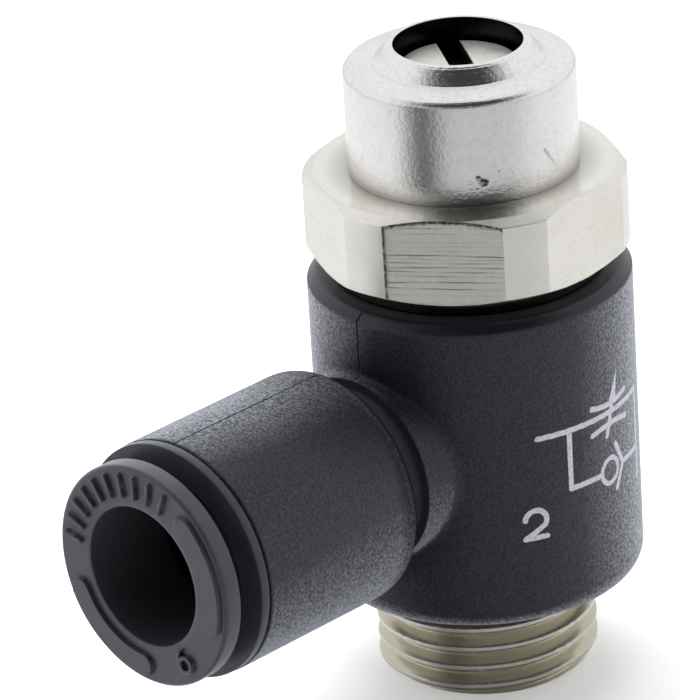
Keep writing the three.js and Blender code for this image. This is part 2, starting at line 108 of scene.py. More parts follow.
# Banjo bolt
THREAD_R = 4.864
THREAD_ROOT_R = 4.36
THREAD_PITCH = 0.907
THREAD_START = radians(189)
THREAD_END = BOLT_LOW.z
THREAD_TOP = -0.45
LEAD_IN = 0.72
UNDERCUT_R = 4.2
STEM_LAND_R = 4.85
STEM_WAIST_R = 4.2
UPPER_LAND_R = 5.45
LOWER_GROOVE = (1.05, 2.35, 3.75)
LIP_GROOVE = (4.4, 5.8, 3.9)
UPPER_GROOVE = (11.7, 13.1, 4.35)
COLLAR_R = 5.9
HEX_BOTTOM = 15.2
HEX_TOP = 19.1
HEX_HALF = 13.0 / 2
HEX_CORNER_R = 7.0
HEX_CHAMFER = radians(30)
HEX_FIRST = radians(34.6 - 90)
SIXTH = pi / 3
HEX_EDGE = acos(HEX_HALF / HEX_CORNER_R)
MILLING_SEED = 11
MILLING_STRENGTHS = (1.0, 0.28, 0.34, 0.9, 0.28, 0.36)
MILLING_SPANS = ((0.008, 0.024), (0.014, 0.026), (-0.008, 0.008), (0, 6), (-1, 1))
MILLING_SPACING = (0.16, 0.42)
SPIGOT_R = 4.2
PORT_BORE_R = 2.5
SEAT = (6.6, 7.8, 1.6)
SPINDLE_BORE_R = 2.05
SPINDLE_THREAD_BORE = (15.4, 3.3)

# Hood; each dent is (place round the wall, place up it, width, height, depth)
HOOD_FOOT = HEX_TOP + 0.004
HOOD_R = HOOD_HIGH.x
HOOD_SHOULDER = 23.8
HOOD_INNER_R = 4.25
HOOD_CEILING = 23.0
HOOD_OPENING_R = 2.78
HOOD_DENTS = (
    (4.60, 20.12, 0.17, 0.15, 0.055),
    (4.42, 20.33, 0.10, 0.10, 0.050),
    (4.78, 20.10, 0.07, 0.08, 0.050),
    (5.32, 20.55, 0.07, 0.05, 0.030),
    (4.38, 19.85, 0.05, 0.04, 0.025),
)
HOOD_SCRATCH = ((7.64, 20.95), (8.30, 20.03))

# Spindle
HEAD_R = 2.65
HEAD_TOP = SPINDLE_HIGH.z
SPINDLE_THREAD = (19.0, 22.9, 3.2, 2.9, 0.5)
SPINDLE_STEM_R = 1.95
NEEDLE = (11.3, 1.5)
SPINDLE_GROOVE = (14.2, 15.2, 1.2)
SLOT = (1.05, 1.1)
SLOT_AZIMUTH = 55.3

# Cartridge sleeve and release button
RING_R = RING_HIGH.x
RING_FRONT = RING_LOW.y
RING_REAR = -18.13
BUTTON_R = BUTTON_HIGH.x
BUTTON_FACE = BUTTON_LOW.y
BUTTON_FLANGE_REAR = -19.5
BUTTON_NECK_R = 3.8
BUTTON_BARB = (4.08, -17.2)
BUTTON_BORE_R = 3.1
RELIEF = 0.19
PAD_R = 4.1
PAD_HALF_WIDTH = 0.5
PAD_SPANS = ((-156, -93), (-14, 48))
RIBS = 10
RIB_SPAN = (68, 170)
RIB_RADII = (3.62, 4.50)
SIZE_HEIGHT = 1.06
SIZE_TURN = radians(-54.7)
SIZE_FOOT_R = 4.42
STROKE_HALF_WIDTH = 0.10

# Printed marks
PRINT_AZIMUTH = radians(65.0)
PRINT_Z = 8.87
INK_STEP = 0.026
INK_SKIN = (0.012, -0.01)

# Camera and studio; the flag's and the grey band's edges are in degrees from the camera
DEGREES = 180 / pi
VIEW = radians(44.21)
CAMERA_ELEVATION = radians(24.41)
CAMERA_ROLL = radians(-2.967)
CAMERA_DISTANCE = 261.1
CAMERA_TARGET_Z = 10.04
CAMERA_FOCAL = 6001 / 700
CAMERA_SHIFT = (-0.1771, 0.0051)
SENSOR = 36
FLAG_LEFT = (-62, -52)
FLAG_RIGHT = (-30, -18)
FLAG_LEVEL = 0.10
GREY_RIGHT = (45, 85)
GREY_LEVEL = 0.72
ROOM_AZIMUTH = VIEW + radians(8)
ROOM_ELEVATION = radians(52)
ROOM_EDGE = (38, 51)
ROOM_LEVEL = 0.05
SKY = 0.97
FLOOR_GLOW = 0.35
FLOOR_HALF = 400


class Net:
    """Points and faces of one piece, gathered row by row."""

    def __init__(self):
        self.blocks = []
        self.count = 0
        self.faces = []
        # Painted light for each point: above 0 a painted shade, below 0 a painted highlight.
        self.painted_light = []

    def row(self, points, painted_light=0.0):
        block = np.asarray(points, float).reshape(-1, 3)
        self.blocks.append(block)
        self.painted_light.append(np.broadcast_to(painted_light, len(block)))
        first = self.count
        self.count += len(block)
        return list(range(first, self.count))

    def lathe(self, profile, around, angles):
        """Rows of points round an axis, one for each point of a profile."""
        return [self.row(around(radius, place, angles)) for radius, place in profile]

    def join(self, low, high, closed=True):
        """Quads between two rows, or triangles to a row of one point."""
        rim = low if len(low) > 1 else high
        for i in range(len(rim) if closed else len(rim) - 1):
            k = (i + 1) % len(rim)
            if len(low) == 1:
                self.faces.append((low[0], high[k], high[i]))
            elif len(high) == 1:
                self.faces.append((low[i], low[k], high[0]))
            else:
                self.faces.append((low[i], low[k], high[k], high[i]))

    def chain(self, rows, closed=False):
        for low, high in zip(rows, rows[1:]):
            self.join(low, high)
        if closed:
            self.join(rows[-1], rows[0])

    def mesh(self, name, sharp):
        """The closed mesh in the frame's metres, smooth but for edges over sharp degrees."""
        points = np.vstack(self.blocks)
        points[:, 1] += AXIS_Y
        made = bpy.data.meshes.new(name)
        made.from_pydata((points * MM).tolist(), [], self.faces)
        painted_light = np.concatenate(self.painted_light)
        if painted_light.any():
            made.attributes.new("painted_light", "FLOAT", "POINT").data.foreach_set("value", painted_light)
        made.validate()
        finish_normals(made, sharp)
        return made


def finish_normals(mesh, sharp):
    """Turns the faces outward and keeps only the edges over sharp degrees hard."""
    solid = bmesh.new()
    solid.from_mesh(mesh)
    if solid.calc_volume(signed=True) < 0:
        mesh.flip_normals()
    solid.free()
    mesh.polygons.foreach_set("use_smooth", [True] * len(mesh.polygons))
    mesh.set_sharp_from_angle(angle=radians(sharp))
    mesh.update()


def add_piece(mesh, looks, body, *nodes, slot=None):
    """Shows a mesh that rides on a body, in place of some CAD nodes. The slot argument is not
    used."""
    piece = placed(mesh.name, mesh)
    mesh.materials.append(looks)
    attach(piece, body)
    if nodes:
        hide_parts(*nodes)


def placed(name, data):
    """A new object in the scene."""
    made = bpy.data.objects.new(name, data)
    bpy.context.scene.collection.objects.link(made)
    return made


def soft(profile, size=0.05, steps=3, closed=False):
    """A profile of (radius, place) points with its corners rounded off; a third number
    in a point is its own rounding."""
    points = [np.array(p[:2], float) for p in profile]
    rounded = []
    for i, here in enumerate(points):
        reach = profile[i][2] if len(profile[i]) > 2 else size
        if reach == 0 or (not closed and i in (0, len(points) - 1)):
            rounded.append(here)
            continue
        arms = []
        for there in (points[i - 1], points[(i + 1) % len(points)]):
            far = np.linalg.norm(there - here)
            arms.append((there - here) / far * min(reach, 0.45 * far))
        for t in shares(steps):
            rounded.append(here + (1 - t) ** 2 * arms[0] + t ** 2 * arms[1])
    return rounded


def shares(steps):
    return [k / steps for k in range(steps + 1)]


def dense(profile, step):
    """The profile with points added so that none are further apart than step."""
    filled = [profile[0]]
    for here, there in zip(profile, profile[1:]):
        here, there = np.asarray(here, float), np.asarray(there, float)
        parts = max(1, ceil(np.linalg.norm(there - here) / step))
        filled += [here + (there - here) * k / parts for k in range(1, parts + 1)]
    return filled


def about_bolt(radius, height, angles):
    """Points round the bolt's axis; angles are from +X."""
    radius, height, angles = np.broadcast_arrays(radius, height, angles)
    return np.stack([radius * np.cos(angles), radius * np.sin(angles), height], 1)


def about_barrel(radius, place, angles):
    """Points round the barrel's axis at a place along Y; angles turn from +X to +Z."""
    return about_bolt(radius, place, angles)[:, [0, 2, 1]] + (0, 0, BARREL_Z)


def on_wall(radius, azimuths, heights):
    """Points round the bolt's axis, by azimuth."""
    radius, azimuths, heights = np.broadcast_arrays(radius, azimuths, heights)
    return np.stack([radius * np.sin(azimuths), -radius * np.cos(azimuths), heights], 1)


def round_angles(count):
    return np.arange(count) * 2 * pi / count


def turned(name, profile, around, count, sharp=30):
    """A ring-shaped mesh, turned from a closed profile."""
    net = Net()
    net.chain(net.lathe(profile, around, round_angles(count)), closed=True)
    return net.mesh(name, sharp)


def smooth_step(value):
    t = np.clip(value, 0, 1)
    return t * t * (3 - 2 * t)


# ---- valve body


def wall_ring(net, radius, height, azimuths, sunk=0.0):
    """A full ring about the bolt's axis, with the parting line sunk on both sides."""
    seam = (np.abs(np.sin(azimuths)) < 1e-6) * sunk
    return net.row(on_wall(radius - seam, azimuths, height))


def body_lattice():
    """Azimuths in front of the barrel and round the back, with two more by each seam."""
    half = radians(50)
    edge = SEAM_HALF_WIDTH / BODY_R
    front = np.union1d(np.linspace(-half, half, 81), [-edge, edge])
    rear = np.linspace(half, 2 * pi - half, 131)[1:-1]
    rear = np.union1d(rear, [pi - edge, pi + edge])
    return front, rear


class Wall:
    """A cylinder about the bolt's axis with a round hole in front, so that a bore across it
    can be joined on. A rectangle with the hole is made first, then the rest round the back.
    top and bottom are its end rows."""

    def __init__(self, net, radius, heights, hole_z, hole_r, sunk):
        front, rear = body_lattice()
        last, count = len(front) - 1, len(heights)
        rim = [(front[last], z) for z in heights] + [(a, heights[-1]) for a in front[-2::-1]]
        rim += [(front[0], z) for z in heights[-2::-1]] + [(a, heights[0]) for a in front[1:-1]]
        rim = np.array(rim)
        self.seam = (np.abs(rim[:, 0]) < 1e-6) * sunk
        self.angles = np.arctan2(rim[:, 1] - hole_z, radius * np.sin(rim[:, 0]))
        hole = np.stack([
            np.arcsin(hole_r * np.cos(self.angles) / radius),
            hole_z + hole_r * np.sin(self.angles),
        ], 1)
        rows = []
        for t in shares(WINDOW_ROWS):
            place = rim * (1 - t) + hole * t
            rows.append(net.row(on_wall(radius - self.seam, *place.T)))
        net.chain(rows)
        self.hole = rows[-1]
        outer = rows[0]
        right = outer[:count]
        left = outer[count - 1 + last:2 * count - 1 + last][::-1]
        behind = [
            [start] + wall_ring(net, radius, z, rear, sunk) + [end]
            for start, z, end in zip(right, heights, left)
        ]
        for low, high in zip(behind, behind[1:]):
            net.join(low, high, closed=False)
        self.top = outer[count - 1:count + last][::-1] + behind[-1][1:-1]
        self.bottom = [left[0]] + outer[2 * count - 1 + last:] + [right[0]] + behind[0][1:-1]


def barrel_rows(net, angles, seam):
    """Rows from the boss's foot on the body, out along the barrel and into its socket."""
    foot_r = BOSS_R + BOSS_FILLET

    def wall(radius):
        return -np.sqrt(BODY_R ** 2 - (radius * np.cos(angles)) ** 2)

    boss_top = wall(BOSS_R) - np.minimum(BOSS_FILLET, 0.8 * (wall(BOSS_R) - BOSS_FRONT))
    rows = []
    for t in shares(FILLET_STEPS)[1:]:
        weights = ((1 - t) ** 2, 2 * t * (1 - t), t ** 2)
        radius = weights[0] * foot_r + (weights[1] + weights[2]) * BOSS_R
        place = weights[0] * wall(foot_r) + weights[1] * wall(BOSS_R) + weights[2] * boss_top
        rows.append(net.row(about_barrel(radius - seam, place, angles)))
    reach = BARREL_REAR_ROUND
    shoulder = [
        (BARREL_R - reach * (1 - cos(turn)), BARREL_REAR - reach * (1 - sin(turn)), 0)
        for turn in np.radians(np.linspace(90, 0, 19))
    ]
    outside = soft([
        (BOSS_R, BOSS_FRONT + 0.3), (BOSS_R, BOSS_FRONT, 0.06),
        (NECK_R, BOSS_FRONT, 0.1), (NECK_R, BARREL_REAR, 0.1),
        *shoulder,
        (BARREL_R, BARREL_FRONT, 0.12), (CARTRIDGE_BORE[0], BARREL_FRONT, 0.05),
        CARTRIDGE_BORE, (SEAL_BORE[0], CARTRIDGE_BORE[1]),
        SEAL_BORE, (TUBE_BORE_R, SEAL_BORE[1], 0.1),
        (TUBE_BORE_R, TUBE_STOP),
    ], steps=7)
    for radius, place in outside[1:]:
        on_outside = radius > CARTRIDGE_BORE[0] + 0.1 or radius < NECK_R + 0.5
        sunk = seam * (on_outside and place > BARREL_FRONT - 0.01 and radius > TUBE_BORE_R + 0.2)
        rows.append(net.row(about_barrel(radius - sunk, place, angles)))
    return rows


def valve_body():
    net = Net()
    around = np.concatenate(body_lattice())
    heights = np.linspace(BODY_FOOT_FILLET, BODY_TOP - BODY_TOP_CHAMFER, 87)
    outer = Wall(net, BODY_R, heights, BARREL_Z, BOSS_R + BOSS_FILLET, SEAM_DEPTH)
    bore_low = LOWER_BORE[1] + UPPER_BORE_R - LOWER_BORE[0] + 0.1
    heights = np.linspace(bore_low, BODY_TOP - 0.5, 87)
    inner = Wall(net, UPPER_BORE_R, heights, PASSAGE_Z, PASSAGE_R, 0.0)

    chamfer = BODY_TOP_CHAMFER
    top = soft([
        (BODY_R, BODY_TOP - chamfer),
        (BODY_R - 0.02, BODY_TOP - 0.9 * chamfer, 0.16), (BODY_R - chamfer, BODY_TOP, 0.16),
        (UPPER_BORE_R + 0.3, BODY_TOP, 0.04), (UPPER_BORE_R, BODY_TOP - 0.3, 0.04),
        (UPPER_BORE_R, BODY_TOP - 0.5),
    ])
    rows = [wall_ring(net, r, z, around, SEAM_DEPTH * (r > BODY_R - 0.3)) for r, z in top[1:-1]]
    net.chain([outer.top] + rows + [inner.top])

    foot = BODY_FOOT_FILLET
    arc = [radians(90 * k / 10) for k in range(1, 11)]
    bottom = [(BODY_R - foot * (1 - cos(a)), foot * (1 - sin(a))) for a in arc]
    bottom += soft([
        (BODY_R - foot, 0), (SEAL_RECESS[0], 0), SEAL_RECESS,
        (LOWER_BORE[0], SEAL_RECESS[1]), LOWER_BORE,
        (UPPER_BORE_R, bore_low - 0.1), (UPPER_BORE_R, bore_low),
    ])[1:-1]
    rows = [wall_ring(net, r, z, around) for r, z in bottom]
    net.chain([outer.bottom] + rows + [inner.bottom])

    barrel = barrel_rows(net, outer.angles, outer.seam)
    net.chain([outer.hole] + barrel)
    across = PASSAGE_R * np.cos(inner.angles)
    up = PASSAGE_Z + PASSAGE_R * np.sin(inner.angles)
    mouth = net.row(np.stack([across, np.full_like(across, TUBE_STOP), up], 1))
    net.chain([barrel[-1], mouth, inner.hole])
    return net.mesh("valve_body_shell", 35)


# ---- metal parts


def thread_radius(angles, height, crest, root, pitch, start):
    """Radius of a right-hand thread with straight flanks, rounded at crest and root."""
    turn = (height - THREAD_END) / pitch + 0.5 - (angles - start) / (2 * pi)
    sharpness, flat = 0.90, 0.84
    wave = np.arcsin(sharpness * np.cos(2 * pi * turn)) / asin(sharpness)
    return root + (crest - root) * (np.minimum(wave, flat) + 1) / (flat + 1)


def hex_columns():
    """Angles round the bolt, with a column on each edge between a flat and a corner."""
    tight = 0.006
    border = HEX_EDGE - tight * np.arange(3)
    inner = np.linspace(-border[-1], border[-1], 59)[1:-1]
    flat = np.concatenate([-border, inner, border[::-1]])
    corner = np.linspace(HEX_EDGE + tight, SIXTH - HEX_EDGE - tight, 12)
    return np.concatenate([HEX_FIRST + k * SIXTH + part for k in range(6) for part in (flat, corner)])


def burr(angles, along, below_top):
    """How strong the burr is that runs over the top and down the left of two flats: it is cut a
    little into the flat and darkened with painted shade.
    """
    turn = (angles - HEX_FIRST + pi / 6) % pi
    half = HEX_HALF * tan(HEX_EDGE)
    uneven = 0.5 + 0.3 * np.sin(9 * along) * np.sin(4.1 * along + 1) + 0.2 * np.sin(23 * along)
    over = np.exp(-((below_top - 0.05) / (0.055 + 0.055 * uneven)) ** 2) * (1.0 + 1.0 * uneven)
    patchy = 0.85 + 0.4 * np.sin(7 * below_top) * np.sin(3 * below_top + 2)
    side = 1.4 * np.exp(-((along + half - 0.05) / 0.075) ** 2) * patchy
    return np.maximum(over, side) * (turn < SIXTH)


def hex_radius(angles):
    """Radius of the hexagon with turned corners, and how far each column is from its
    flat's middle, in millimetres."""
    off = (angles - HEX_FIRST + SIXTH / 2) % SIXTH - SIXTH / 2
    prism = HEX_HALF / np.cos(off)
    return np.minimum(prism, HEX_CORNER_R), HEX_HALF * np.tan(off)


def tool_marks():
    """Depths of the milling lines on the six flats, as a function of angle and height."""
    draw = np.random.default_rng(MILLING_SEED)
    flats = []
    for strength in MILLING_STRENGTHS:
        lines = []
        height = HEX_BOTTOM + 0.1
        while height < HEX_TOP:
            deep, *shape = [draw.uniform(*span) for span in MILLING_SPANS]
            lines.append((height, strength * deep, *shape))
            height += draw.uniform(*MILLING_SPACING)
        flats.append(lines)

    def depth(angles, along, height, on_flat):
        which = ((angles - HEX_FIRST + SIXTH / 2) // SIXTH).astype(int) % 6
        cut = np.zeros_like(angles)
        for k, lines in enumerate(flats):
            part = np.zeros_like(angles)
            for z, deep, wide, slope, phase, fade in lines:
                wave = 0.012 * np.sin(1.1 * along + phase)
                wave = wave + 0.006 * np.sin(5.3 * along + 2 * phase)
                shape = np.exp(-((height - z - slope * along - wave) / wide) ** 2)
                part += deep * shape * (0.72 + 0.28 * np.sin(1.9 * along + fade * 3))
            cut += part * (which == k)
        return cut * on_flat

    return depth


def banjo_bolt():
    net = Net()
    angles = hex_columns()
    edge, along = hex_radius(angles)
    on_flat = edge < HEX_CORNER_R - 1e-6
    cut = tool_marks()
    rows = []

    def ring(radius, height, painted_light=0.0):
        rows.append(net.row(about_bolt(radius, height, angles), painted_light))

    lead_in = soft([
        (PORT_BORE_R, THREAD_END + 0.4), (PORT_BORE_R + 0.4, THREAD_END, 0.04),
        (THREAD_R - LEAD_IN, THREAD_END, 0.06), (THREAD_R - 0.6, THREAD_END + 0.09),
    ])
    for point in lead_in:
        ring(*point)
    for height in np.linspace(THREAD_END + 0.1, THREAD_TOP, 260):
        blank = THREAD_R - max(0.0, LEAD_IN * (1 - (height - THREAD_END) / 0.55))
        run_out = THREAD_R - (THREAD_R - THREAD_ROOT_R) * max(0.0, 1 - (THREAD_TOP - height) / 0.25)
        cut_r = thread_radius(angles, height, THREAD_R, THREAD_ROOT_R, THREAD_PITCH, THREAD_START)
        nibbled = 0.012 * np.sin(23 * angles + 9 * height) * np.sin(41 * angles - 5 * height)
        crest = cut_r > THREAD_R - 0.02
        # Crest points take a negative painted light: a painted highlight along the crests.
        ring(np.minimum(cut_r, min(blank, run_out)) - np.abs(nibbled) * crest, height, -1.0 * crest)
    stem = soft([
        (UNDERCUT_R, THREAD_TOP),
        (UNDERCUT_R, LOWER_GROOVE[0] - 0.3), (STEM_LAND_R, LOWER_GROOVE[0] - 0.3),
        *groove(STEM_LAND_R, *LOWER_GROOVE),
        (STEM_LAND_R, LOWER_BORE[1]), (STEM_WAIST_R, LOWER_BORE[1]),
        (STEM_WAIST_R, LIP_GROOVE[0] - 0.3), (STEM_LAND_R, LIP_GROOVE[0] - 0.3),
        *groove(STEM_LAND_R, *LIP_GROOVE),
        (STEM_LAND_R, LIP_GROOVE[1] + 0.3), (STEM_WAIST_R, LIP_GROOVE[1] + 0.6),
        (STEM_WAIST_R, UPPER_GROOVE[0] - 0.9), (UPPER_LAND_R, UPPER_GROOVE[0] - 0.3),
        *groove(UPPER_LAND_R, *UPPER_GROOVE),
        (UPPER_LAND_R, BODY_TOP + 0.06), (COLLAR_R, BODY_TOP + 0.06),
        (COLLAR_R, HEX_BOTTOM), (HEX_HALF, HEX_BOTTOM, 0.02),
    ], size=0.04)
    for point in stem:
        ring(*point)
    drop = (edge - HEX_HALF) * tan(HEX_CHAMFER)
    bottom, top = HEX_BOTTOM + drop, HEX_TOP - drop
    ring(edge - 0.015, bottom - 0.004)
    for share in [0.006, *np.linspace(0.012, 0.988, 340), 0.994]:
        height = bottom + (top - bottom) * share
        depth = cut(angles, along, height, on_flat)
        dark = burr(angles, along, top - height) * on_flat
        # Painted shade along the burr and in the milling lines, by their depth.
        ring(edge - depth - 0.02 * dark, height, np.clip(np.maximum(dark, 20 * depth), 0, 1))
    ring(edge - 0.015, top + 0.004)
    inside = soft([
        (HEX_HALF, HEX_TOP, 0.03), (SPIGOT_R, HEX_TOP),
        (SPIGOT_R, BOLT_HIGH.z), (SPINDLE_THREAD_BORE[1], BOLT_HIGH.z),
        SPINDLE_THREAD_BORE[::-1], (SPINDLE_BORE_R, SPINDLE_THREAD_BORE[0] - 0.5),
        (SPINDLE_BORE_R, SEAT[1] + 0.2), (SEAT[2], SEAT[1]),
        (SEAT[2], SEAT[0]), (PORT_BORE_R, SEAT[0] - 0.9),
        (PORT_BORE_R, THREAD_END + 0.5),
    ], size=0.04)
    for point in inside:
        ring(*point)
    net.chain(rows, closed=True)
    return net.mesh("banjo_bolt_fine", 25)


def groove(land_r, low, high, root_r):
    """Corners of a square groove, from below."""
    return [(land_r, low), (root_r, low), (root_r, high), (land_r, high)]


def hood_marks(angles, height):
    """Small dents and a scratch that handling has left on the hood's wall."""
    across = HOOD_R * np.radians((np.degrees(angles) + 270) % 360 - 180)
    cut = np.zeros_like(angles)
    for place, z, wide, tall, deep in HOOD_DENTS:
        far = np.hypot((across - place) / wide, (height - z) / tall)
        cut += deep * (1 - smooth_step(far - 0.45))
    far, share = to_segment(across, height, *HOOD_SCRATCH)
    return cut + 0.05 * np.exp(-(far / 0.055) ** 2) * (1 - 0.6 * share)


def ripple(radius):
    """Turning rings on the rim's slope, fading out over the shoulder."""
    strength = smooth_step((radius - HOOD_OPENING_R - 0.15) / 0.2)
    strength *= smooth_step((HOOD_R - 0.5 - radius) / 0.9)
    return strength * sin(2 * pi * radius / 0.13)


def retaining_hood():
    net = Net()
    angles = round_angles(540)
    inside = soft([
        (HOOD_INNER_R, HOOD_CEILING), (HOOD_INNER_R, HOOD_FOOT),
        (HOOD_R, HOOD_FOOT, 0.015), (HOOD_R, HOOD_LOW.z + 0.3),
    ])
    wall = [(HOOD_R, z) for z in np.linspace(HOOD_LOW.z + 0.34, HOOD_SHOULDER - 0.75, 80)]
    crown = soft([
        (HOOD_R, HOOD_SHOULDER - 0.7), (HOOD_R, HOOD_SHOULDER - 0.03, 0.36),
        (3.78, HOOD_SHOULDER + 0.22, 0.16), (3.70, HOOD_SHOULDER + 0.15, 0.06),
        (3.60, HOOD_SHOULDER + 0.20, 0.10), (3.12, HOOD_HIGH.z - 0.07, 0.14),
        (2.98, HOOD_HIGH.z, 0.05), (HOOD_OPENING_R, HOOD_HIGH.z, 0.06),
        (HOOD_OPENING_R, HOOD_CEILING, 0.05),
    ], steps=6)
    crown = [(r, z + 0.007 * ripple(r)) for r, z in dense(crown, 0.02)]
    crown.append((HOOD_OPENING_R + 0.5, HOOD_CEILING))
    rows = []
    for radius, height in inside + wall + crown:
        cut = hood_marks(angles, height) if radius > HOOD_R - 1e-6 else 0.0
        # The dents and the scratch get painted shade, by their depth.
        rows.append(net.row(about_bolt(radius - cut, height, angles), np.clip(13 * cut, 0, 1)))
    net.chain(rows, closed=True)
    return net.mesh("retaining_hood_fine", 40)


def adjusting_spindle():
    net = Net()
    angles = round_angles(160)
    low, high, crest, root, pitch = SPINDLE_THREAD
    foot = soft([
        (0, SPINDLE_LOW.z), (0.35, SPINDLE_LOW.z), NEEDLE[::-1],
        (NEEDLE[1], SPINDLE_GROOVE[0] - 0.9), (SPINDLE_STEM_R, SPINDLE_GROOVE[0] - 0.6),
        *groove(SPINDLE_STEM_R, *SPINDLE_GROOVE),
        (SPINDLE_STEM_R, low), (root, low),
    ], size=0.04)
    head = soft([
        (HEAD_R, high), (HEAD_R, HEAD_TOP, 0.75), (HEAD_R - 1.5, HEAD_TOP), (0, HEAD_TOP),
    ], steps=10)
    rows = [net.row(about_bolt(0.0, SPINDLE_LOW.z, angles[:1]))]
    rows += net.lathe(foot[1:], about_bolt, angles)
    for height in np.linspace(low + 0.02, high - 0.02, 100):
        cut = thread_radius(angles, height, crest, root, pitch, 0.0)
        blank = root + min(1.0, (height - low) / 0.3, (high - height) / 0.3) * (crest - root)
        rows.append(net.row(about_bolt(np.minimum(cut, blank), height, angles)))
    rows += net.lathe(head[:-1], about_bolt, angles)
    rows.append(net.row(about_bolt(0.0, HEAD_TOP, angles[:1])))
    net.chain(rows)
    piece = placed("blank", net.mesh("blank", 35))
    slot = piece.modifiers.new("slot", "BOOLEAN")
    slot.operation, slot.solver = "DIFFERENCE", "EXACT"
    slot.object = placed("slot_cutter", slot_cutter())
    graph = bpy.context.evaluated_depsgraph_get()
    mesh = bpy.data.meshes.new_from_object(piece.evaluated_get(graph))
    mesh.name = "adjusting_spindle_fine"
    for used in (slot.object, piece):
        bpy.data.objects.remove(used)
    finish_normals(mesh, 35)
    return mesh


def slot_cutter():
    """A box along the slot, centred on the head's top."""
    wide, deep = SLOT
    place = Matrix.Translation(Vector((0, AXIS_Y, HEAD_TOP)) * MM)
    turn = Matrix.Rotation(radians(SLOT_AZIMUTH - 90), 4, "Z")
    sides = Matrix.Diagonal((4 * HEAD_R * MM, wide * MM, 2 * deep * MM, 1))
    box = bmesh.new()
    bmesh.ops.create_cube(box, size=1, matrix=place @ turn @ sides)
    mesh = bpy.data.meshes.new("slot_cutter")
    box.to_mesh(mesh)
    box.free()
    return mesh


# ---- push-in fitting


def cartridge_sleeve():
    profile = soft([
        (3.9, RING_FRONT, 0.1), (RING_R, RING_FRONT, 0.07), (RING_R, RING_REAR),
        (4.55, RING_REAR), (4.55, RING_HIGH.y), (4.25, RING_HIGH.y),
        (4.25, -15.3), (3.95, -15.4), (4.2, -15.75), (4.2, -17.3), (3.9, -17.3),
    ], closed=True)
    return turned("cartridge_sleeve_fine", profile, about_barrel, 256)


def to_segment(x, y, start, end):
    """Distance of points from a straight stroke, and the share of it that they are along."""
    run = np.subtract(end, start).astype(float)
    share = ((x - start[0]) * run[0] + (y - start[1]) * run[1]) / (run @ run)
    share = np.clip(share, 0, 1)
    return np.hypot(x - start[0] - share * run[0], y - start[1] - share * run[1]), share


def to_path(x, y, points):
    return np.min([to_segment(x, y, a, b)[0] for a, b in zip(points, points[1:])], axis=0)


def arc_points(centre, radius, start, end, count=14):
    turns = np.radians(np.linspace(start, end, count))
    return [(centre[0] + radius[0] * cos(a), centre[1] + radius[1] * sin(a)) for a in turns]


def six_path(height):
    """Strokes of a plain figure 6, from its lower left corner."""
    bowl = 0.31 * height
    reach = 1.05 * height * 0.62
    ring = arc_points((bowl, bowl), (bowl, bowl), 0, 360, 22)
    return ring, arc_points((reach, bowl), (reach, height - bowl), 180, 112, 10)


def two_path(wide, height):
    """Strokes of a plain figure 2, from its lower left corner."""
    hook = wide / 2
    top = arc_points((hook, height - hook), (hook, hook), 170, -35, 14)
    return top + [(0, 0), (wide, 0)]


def button_relief(radius, angles):
    """How far each point of the button's face stands proud, from 0 to 1: two long pads, the
    tube size and a row of short ribs."""
    x, y = radius * np.cos(angles), radius * np.sin(angles)
    distances = []
    for start, end in PAD_SPANS:
        spine = arc_points((0, 0), (PAD_R, PAD_R), start, end, 24)
        distances.append(to_path(x, y, spine) - PAD_HALF_WIDTH)
    for turn in np.radians(np.linspace(*RIB_SPAN, RIBS)):
        inner, outer = [(r * cos(turn), r * sin(turn)) for r in RIB_RADII]
        distances.append(to_path(x, y, [inner, outer]) - STROKE_HALF_WIDTH)
    turn = SIZE_TURN
    out = x * cos(turn) + y * sin(turn)
    side = -x * sin(turn) + y * cos(turn)
    for stroke in six_path(SIZE_HEIGHT):
        centred = [(px - 0.31 * SIZE_HEIGHT, py) for px, py in stroke]
        distances.append(to_path(side, SIZE_FOOT_R - out, centred) - STROKE_HALF_WIDTH)
    nearest = np.min(distances, axis=0)
    return smooth_step(0.5 - nearest / 0.05)


def release_button():
    net = Net()
    angles = round_angles(900)
    base = BUTTON_FACE + RELIEF
    inside = soft([
        (BUTTON_NECK_R, BUTTON_FLANGE_REAR), (BUTTON_NECK_R, BUTTON_BARB[1]),
        BUTTON_BARB, (BUTTON_NECK_R, BUTTON_BARB[1] + 0.4),
        (3.5, BUTTON_HIGH.y), (BUTTON_BORE_R, BUTTON_HIGH.y),
        (BUTTON_BORE_R, base, 0.07), (BUTTON_BORE_R + 0.3, base),
    ])
    rim = soft([
        (BUTTON_R - 0.2, base), (BUTTON_R - 0.1, base, 0.08), (BUTTON_R, base + 0.1, 0.08),
        (BUTTON_R, BUTTON_FLANGE_REAR, 0.08), (BUTTON_NECK_R + 0.1, BUTTON_FLANGE_REAR),
    ])
    face = [
        (r, base - RELIEF * button_relief(r, angles))
        for r in np.arange(BUTTON_BORE_R + 0.33, BUTTON_R - 0.21, 0.028)
    ]
    net.chain(net.lathe(inside + face + rim, about_barrel, angles), closed=True)
    return net.mesh("release_button_fine", 50)


def gripping_ring():
    profile = soft([
        (2.9, -14.88), (3.6, -15.2), (4.1, -15.2), (4.1, -15.02), (3.64, -15.02), (3.0, -14.78),
    ], size=0.03, closed=True)
    return turned("gripping_ring_fine", profile, about_barrel, 192)


def o_ring(name, inner, section, place, around):
    middle, half = inner + section / 2, section / 2
    profile = [(middle + half * cos(a), place + half * sin(a)) for a in round_angles(24)]
    return turned(name, profile, around, 144, sharp=60)


# ---- printed marks


